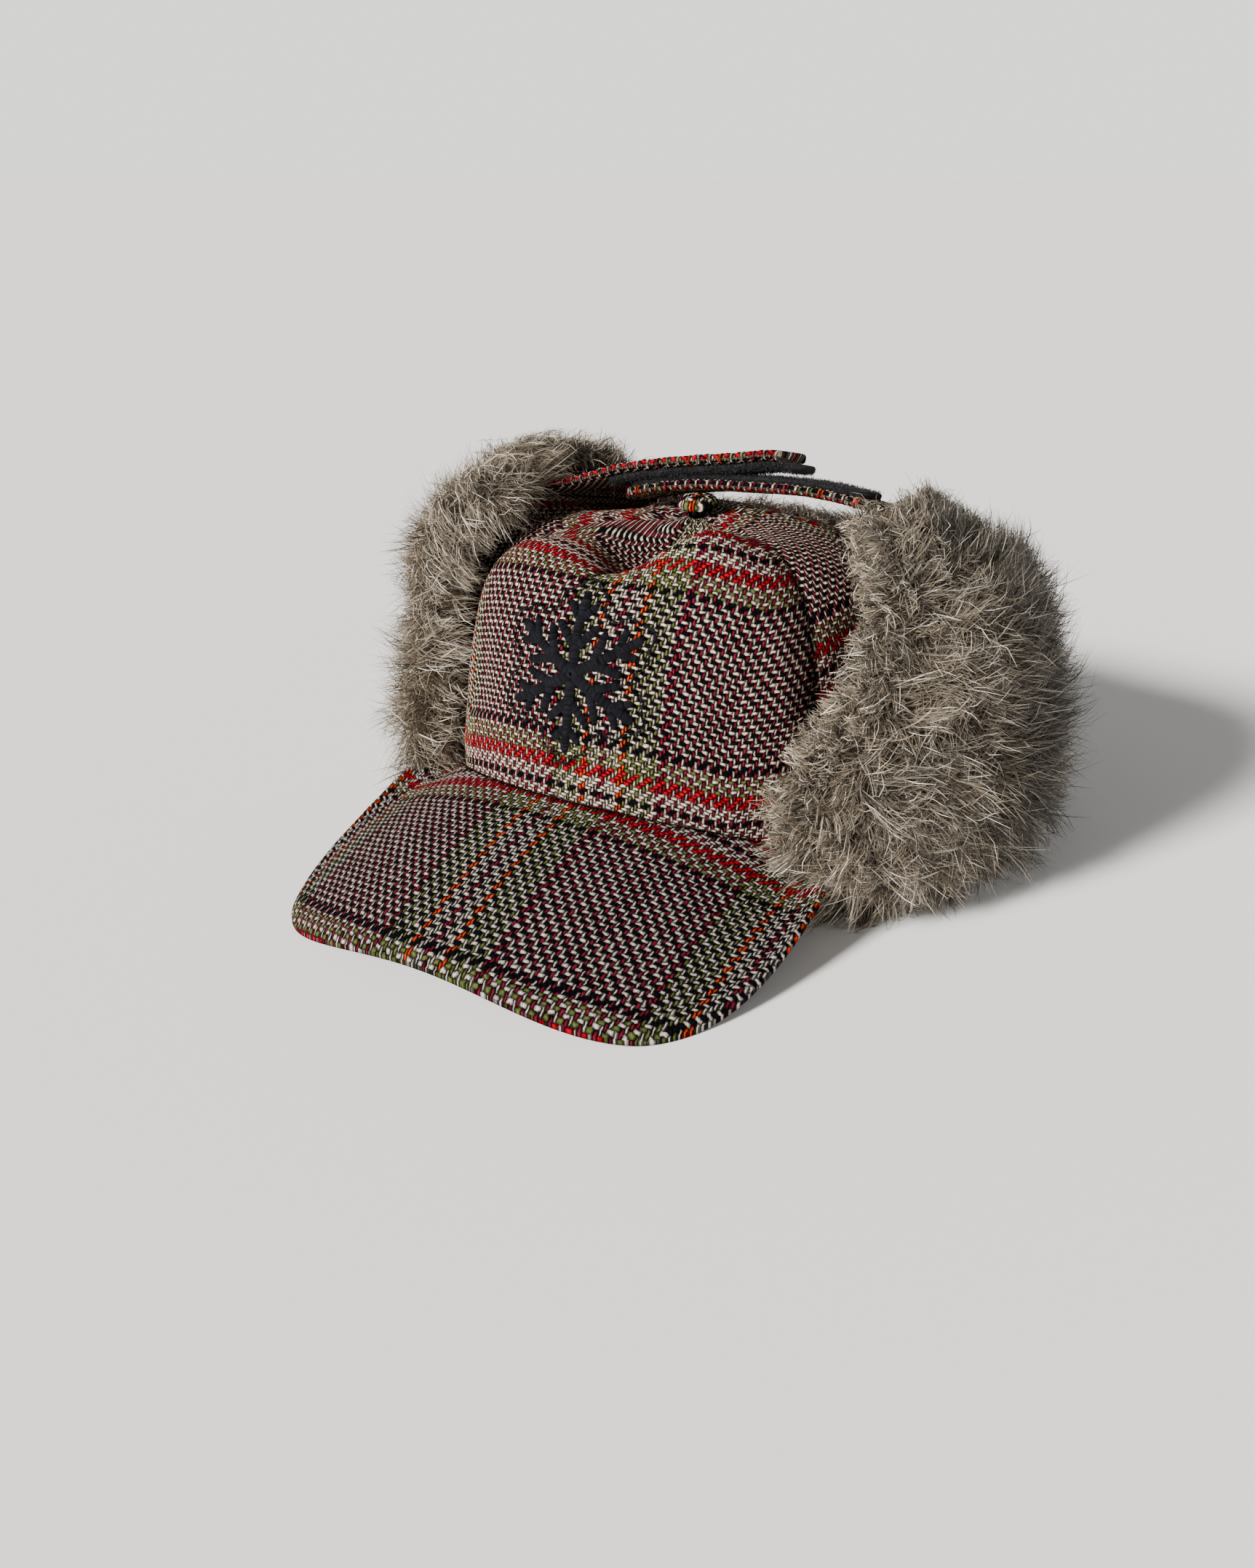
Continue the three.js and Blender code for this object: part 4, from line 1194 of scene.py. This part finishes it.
def star_outline(material):
    """A running stitch that follows the star a little way outside it."""
    steps = OUTLINE["steps"]
    heading = np.radians(np.linspace(-ARM_ANGLE / 2, ARM_ANGLE / 2, steps, endpoint=False))
    reach = np.tile(outline_reach(heading), 7)
    window = np.hanning(9)
    reach = np.convolve(reach, window / window.sum(), "same")[steps // 2:1 - steps // 2]
    around = np.radians(np.arange(len(reach)) * (ARM_ANGLE / steps))
    path = turned(np.stack([reach * np.cos(around), reach * np.sin(around)], -1), 0)
    run = run_along(path, 0)
    places = np.linspace(0, run[-1], int(run[-1] / OUTLINE["stitch"]) + 1)
    knots = np.stack([np.interp(places, run, path[:, k]) for k in (0, 1)], -1)
    gap = (knots[1:] - knots[:-1]) * 0.05
    starts, ends = knots[:-1] + gap, knots[1:] - gap
    return stitches("cap_star_outline", starts, ends, OUTLINE, material)


def length_setting(name, description, default):
    return FloatProperty(name=name, description=description, default=default, unit="LENGTH", precision=5)


def shade_setting(name, description, default):
    return FloatVectorProperty(
        name=name, description=description, default=default, subtype="COLOR", min=0, max=1,
    )


def strength_setting(name, description, default):
    return FloatProperty(name=name, description=description, default=default, min=0)


class FurCapTweed(bpy.types.PropertyGroup):
    """The cloth's threads."""

    thread_pitch: length_setting("Thread pitch", "Distance between threads", 0.0010925)
    relief: length_setting("Relief", "Depth of the weave", 0.0012)
    cream: shade_setting("Cream", "Pale thread", (1.0, 0.81, 0.65))
    maroon: shade_setting("Maroon", "Dark red thread", (0.2, 0.012, 0.032))
    charcoal: shade_setting("Charcoal", "Black thread", (0.004, 0.004, 0.007))
    olive: shade_setting("Olive", "Green thread", (0.12, 0.145, 0.04))
    scarlet: shade_setting("Scarlet", "Red thread", (0.42, 0.002, 0.012))
    orange: shade_setting("Orange", "Orange thread", (0.75, 0.05, 0.004))
    tone: shade_setting("Tone", "Shade over the whole cloth", (1, 1, 1))
    # The peak's cream and tone are a darker, cooler copy of the crown's cloth: painted shade, as the sloping
    # peak takes less of the key light than the crown's front.
    peak_shaded_cream: shade_setting("Peak cream", "Pale thread of the peak", (0.8, 0.7, 0.6))
    peak_painted_shade: shade_setting("Peak tone", "Shade over the peak", (0.76, 0.77, 0.79))
    pale_thinness: FloatProperty(
        name="Pale thinness", description="How much thinner the palest thread is",
        default=0.2, min=0, max=0.3,
    )


class FurCapFur(bpy.types.PropertyGroup):
    """The flaps' pile."""

    lock_spread: length_setting("Lock spread", "Width of a lock at its roots", 0.0024)
    strand_width: length_setting("Strand width", "Width of a strand", 0.0003)
    density: FloatProperty(
        name="Density", description="Locks, as a share of the full pile", default=1, min=0.05, max=2,
    )
    per_lock: IntProperty(
        name="Strands per lock", description="Strands in each lock", default=16, min=2,
    )
    root: shade_setting("Root", "Colour at the roots", (0.018, 0.012, 0.007))
    middle: shade_setting("Middle", "Colour half way", (0.172, 0.138, 0.099))
    tip: shade_setting("Tip", "Colour at the tips", (0.52, 0.45, 0.345))
    guard: shade_setting("Guard hair", "Colour of the pale hairs", (1.0, 0.93, 0.8))


class FurCapThread(bpy.types.PropertyGroup):
    """The embroidery."""

    stitch_spacing: length_setting("Stitch spacing", "Distance between satin stitches", 0.00026)
    shade: shade_setting("Shade", "Embroidery thread", (0.002, 0.002, 0.003))


class FurCapStage(bpy.types.PropertyGroup):
    """Floor and lights."""

    key_strength: strength_setting("Key light", "Strength of the main light", 9.5)
    key_softness: FloatProperty(
        name="Key softness", description="Spread of the main light", default=0.2, subtype="ANGLE", min=0,
    )
    sky: strength_setting("Sky", "Strength of the light from overhead", 0.08)
    horizon: strength_setting("Horizon", "Strength of the light near the horizon", 1.6)


def shared_tweed():
    name = "woven_tweed"
    tweed = bpy.context.scene.fur_cap_tweed
    return bpy.data.materials.get(name) or tweed_material(name, tweed, tweed.cream, tweed.tone)


class FURCAP_OT_crown(bpy.types.Operator):
    """Sew the six crown panels"""

    bl_idname = "fur_cap.crown"
    bl_label = "Crown"

    def execute(self, context):
        for panel in CROWN_PANELS:
            piece = crown_panel(panel, context.scene.fur_cap_tweed, shared_tweed())
            finish_piece(piece, "plaid_tweed", f"crown_panel_{panel['place']}")
        return {"FINISHED"}


class FURCAP_OT_peak(bpy.types.Operator):
    """Cover the bent peak"""

    bl_idname = "fur_cap.peak"
    bl_label = "Peak"

    def execute(self, context):
        tweed = context.scene.fur_cap_tweed
        # The peak's tweed is the crown's tweed darkened: painted shade.
        piece = peak_cloth(tweed, tweed_material("peak_tweed_painted_shade", tweed, tweed.peak_shaded_cream, tweed.peak_painted_shade))
        finish_piece(piece, "plaid_tweed", "peak")
        return {"FINISHED"}


class FURCAP_OT_flap(bpy.types.Operator):
    """Fold the flaps' cloth up round the crown"""

    bl_idname = "fur_cap.flap"
    bl_label = "Flap cloth"

    def execute(self, context):
        piece, face = flap_sheet(context.scene.fur_cap_tweed, shared_tweed())
        finish_piece(piece, "plaid_tweed", "flap_cloth")
        return {"FINISHED"}


class FURCAP_OT_fur(bpy.types.Operator):
    """Grow the pile on the outside of the flaps"""

    bl_idname = "fur_cap.fur"
    bl_label = "Fur"

    def execute(self, context):
        fur = context.scene.fur_cap_fur
        # The underfur takes the root colour and a darkened middle: partly its own dark colour, partly
        # painted shade between the locks.
        bed = bed_material("underfur", tuple(fur.root), tuple(0.6 * c for c in fur.middle))
        pile = strand_material("fur_strands", fur.root, fur.middle, fur.tip, (*fur.guard, 1))
        for number, (label, patch) in enumerate(FUR_PATCHES.items()):
            piece = fur_bed(label, patch, bed)
            finish_piece(piece, "fur_pile", patch["node"])
            for half in ("a", "b"):
                dice = np.random.default_rng(100 + 10 * number + ord(half))
                groups = [body_locks(patch, fur, dice), spill_locks(patch, fur, dice)]
                strands = strand_mesh(f"cap_fur_{label}_{half}", groups, fur.strand_width / MM, pile, dice)
                finish_piece(strands, "fur_pile")
        return {"FINISHED"}


class FURCAP_OT_button(bpy.types.Operator):
    """Cover the top button"""

    bl_idname = "fur_cap.button"
    bl_label = "Button"

    def execute(self, context):
        finish_piece(button_dome(context.scene.fur_cap_tweed, shared_tweed()), "plaid_tweed", "top_button")
        return {"FINISHED"}


class FURCAP_OT_straps(bpy.types.Operator):
    """Lay the two straps and their fastening tape over the crown"""

    bl_idname = "fur_cap.straps"
    bl_label = "Straps"

    def execute(self, context):
        settings = context.scene.fur_cap_tweed
        black = tape_material("hook_and_loop_tape")
        nap = strand_material("tape_nap", *[(0.004, 0.004, 0.005)] * 3, (0.03, 0.03, 0.034, 1))
        for strap in STRAPS:
            material = black if strap["slot"] == "black_tape" else shared_tweed()
            piece = ribbon(f"cap_{strap['node']}", strap, settings, material)
            finish_piece(piece, strap["slot"], strap["node"])
            if strap["slot"] == "black_tape":
                fuzz = tape_nap(f"cap_{strap['node']}_nap", strap, nap)
                finish_piece(fuzz, "black_tape")
        return {"FINISHED"}


class FURCAP_OT_star(bpy.types.Operator):
    """Embroider the star on the front"""

    bl_idname = "fur_cap.star"
    bl_label = "Star"

    def execute(self, context):
        thread = context.scene.fur_cap_thread
        satin = satin_material("embroidery_thread", (*thread.shade, 1))
        star = satin_star(thread, satin)
        outline = star_outline(satin)
        finish_piece(star, "black_thread", "front_star")
        finish_piece(outline, "black_thread")
        return {"FINISHED"}


CAMERA = {
    "azimuth": 31.99, "elevation": 23.71, "distance": 552.41, "aside": -25.46, "up": -30.41, "roll": -0.2,
}
SENSOR_WIDTH = 36
FOCAL_PIXELS = 1913.89
IMAGE_WIDTH = 1725


def add_camera():
    """A camera at the photograph's own viewing angle."""
    a, e = math.radians(CAMERA["azimuth"]), math.radians(CAMERA["elevation"])
    back = Vector((math.sin(a) * math.cos(e), -math.cos(a) * math.cos(e), math.sin(e)))
    right = Vector((math.cos(a), math.sin(a), 0))
    up = back.cross(right)
    place = Vector((0, 0, CAMERA["up"])) + right * CAMERA["aside"] + back * CAMERA["distance"]
    data = bpy.data.cameras.new("photo_camera")
    data.sensor_fit = "HORIZONTAL"
    data.sensor_width = SENSOR_WIDTH
    data.lens = SENSOR_WIDTH * FOCAL_PIXELS / IMAGE_WIDTH
    data.clip_start = 0.01
    camera = add_to_scene("photo_camera", data)
    turn = Matrix((right, up, back)).transposed() @ Matrix.Rotation(math.radians(-CAMERA["roll"]), 3, "Z")
    camera.matrix_world = Matrix.Translation(place * MM + Vector(ORIGIN)) @ turn.to_4x4()
    bpy.context.scene.camera = camera


def add_sun(name, strength, softness, direction, tint):
    """Light from far away, from a direction given as a vector towards it."""
    data = bpy.data.lights.new(name, "SUN")
    data.energy = strength
    data.angle = softness
    data.color = tint
    light = add_to_scene(name, data)
    light.rotation_euler = Vector(direction).to_track_quat("Z", "Y").to_euler()


FLOOR_RADIUS = 60
FLOOR_SIDES = 96
HORIZON_ENDS, SKY_BEGINS = 0.3, 0.5
AIR_TINT = (1.0, 0.985, 0.96, 1)
KEY_FROM = (-0.42, -1.0, 0.58)
KEY_TINT = (1.0, 0.96, 0.91)


def round_floor():
    """Points and faces of a wide pale disc under the cap."""
    turns = [2 * math.pi * k / FLOOR_SIDES for k in range(FLOOR_SIDES)]
    points = [(FLOOR_RADIUS * math.cos(t), FLOOR_RADIUS * math.sin(t), 0) for t in turns]
    return points, [], [tuple(range(FLOOR_SIDES))]


def studio_air(settings):
    """Light from all round: a bright pale band near the horizon, soft and low overhead."""
    world = bpy.data.worlds.new("soft_sky")
    world.use_nodes = True
    tree = world.node_tree
    direction = tree.nodes.new("ShaderNodeTexCoord")
    parts = tree.nodes.new("ShaderNodeSeparateXYZ")
    band = tree.nodes.new("ShaderNodeMapRange")
    band.interpolation_type = "SMOOTHSTEP"
    tree.links.new(direction.outputs["Generated"], parts.inputs[0])
    tree.links.new(parts.outputs[2], band.inputs["Value"])
    values = (HORIZON_ENDS, SKY_BEGINS, settings.horizon, settings.sky)
    for socket, value in zip(band.inputs[1:5], values):
        socket.default_value = value
    background = tree.nodes["Background"]
    background.inputs[0].default_value = AIR_TINT
    tree.links.new(band.outputs[0], background.inputs[1])
    return world


class FURCAP_OT_stage(bpy.types.Operator):
    """Set the floor, the lights and the camera"""

    bl_idname = "fur_cap.stage"
    bl_label = "Stage"

    def execute(self, context):
        settings = context.scene.fur_cap_stage
        mesh = bpy.data.meshes.new("floor")
        mesh.from_pydata(*round_floor())
        floor = add_to_scene("floor", mesh)
        n = Nodes("pale_floor")
        mesh.materials.append(n.shader((0.93, 0.93, 0.93, 1), 0.9))
        context.scene.world = studio_air(settings)
        add_sun("key", settings.key_strength, settings.key_softness, KEY_FROM, KEY_TINT)
        add_camera()
        return {"FINISHED"}


OPERATORS = [
    FURCAP_OT_crown, FURCAP_OT_peak, FURCAP_OT_flap, FURCAP_OT_fur,
    FURCAP_OT_button, FURCAP_OT_straps, FURCAP_OT_star, FURCAP_OT_stage,
]


class FURCAP_PT_panel(bpy.types.Panel):
    """The cap's builders, in the 3D view's sidebar"""

    bl_idname = "FURCAP_PT_panel"
    bl_label = "Fur-lined cap"
    bl_space_type = "VIEW_3D"
    bl_region_type = "UI"
    bl_category = "Cap"

    def draw(self, context):
        scene = context.scene
        for group in (scene.fur_cap_tweed, scene.fur_cap_fur, scene.fur_cap_thread, scene.fur_cap_stage):
            box = self.layout.box()
            for key in group.__annotations__:
                box.prop(group, key)
        for operator in OPERATORS:
            self.layout.operator(operator.bl_idname)


SETTINGS = {
    "fur_cap_tweed": FurCapTweed,
    "fur_cap_fur": FurCapFur,
    "fur_cap_thread": FurCapThread,
    "fur_cap_stage": FurCapStage,
}


def register():
    for kind in [*SETTINGS.values(), *OPERATORS, FURCAP_PT_panel]:
        bpy.utils.register_class(kind)
    for name, kind in SETTINGS.items():
        setattr(bpy.types.Scene, name, PointerProperty(type=kind))


def unregister():
    for name in SETTINGS:
        delattr(bpy.types.Scene, name)
    for kind in reversed([*SETTINGS.values(), *OPERATORS, FURCAP_PT_panel]):
        bpy.utils.unregister_class(kind)


def main():
    register()
    for operator in OPERATORS:
        group, call = operator.bl_idname.split(".")
        getattr(getattr(bpy.ops, group), call)()


if __name__ == "__main__":
    main()
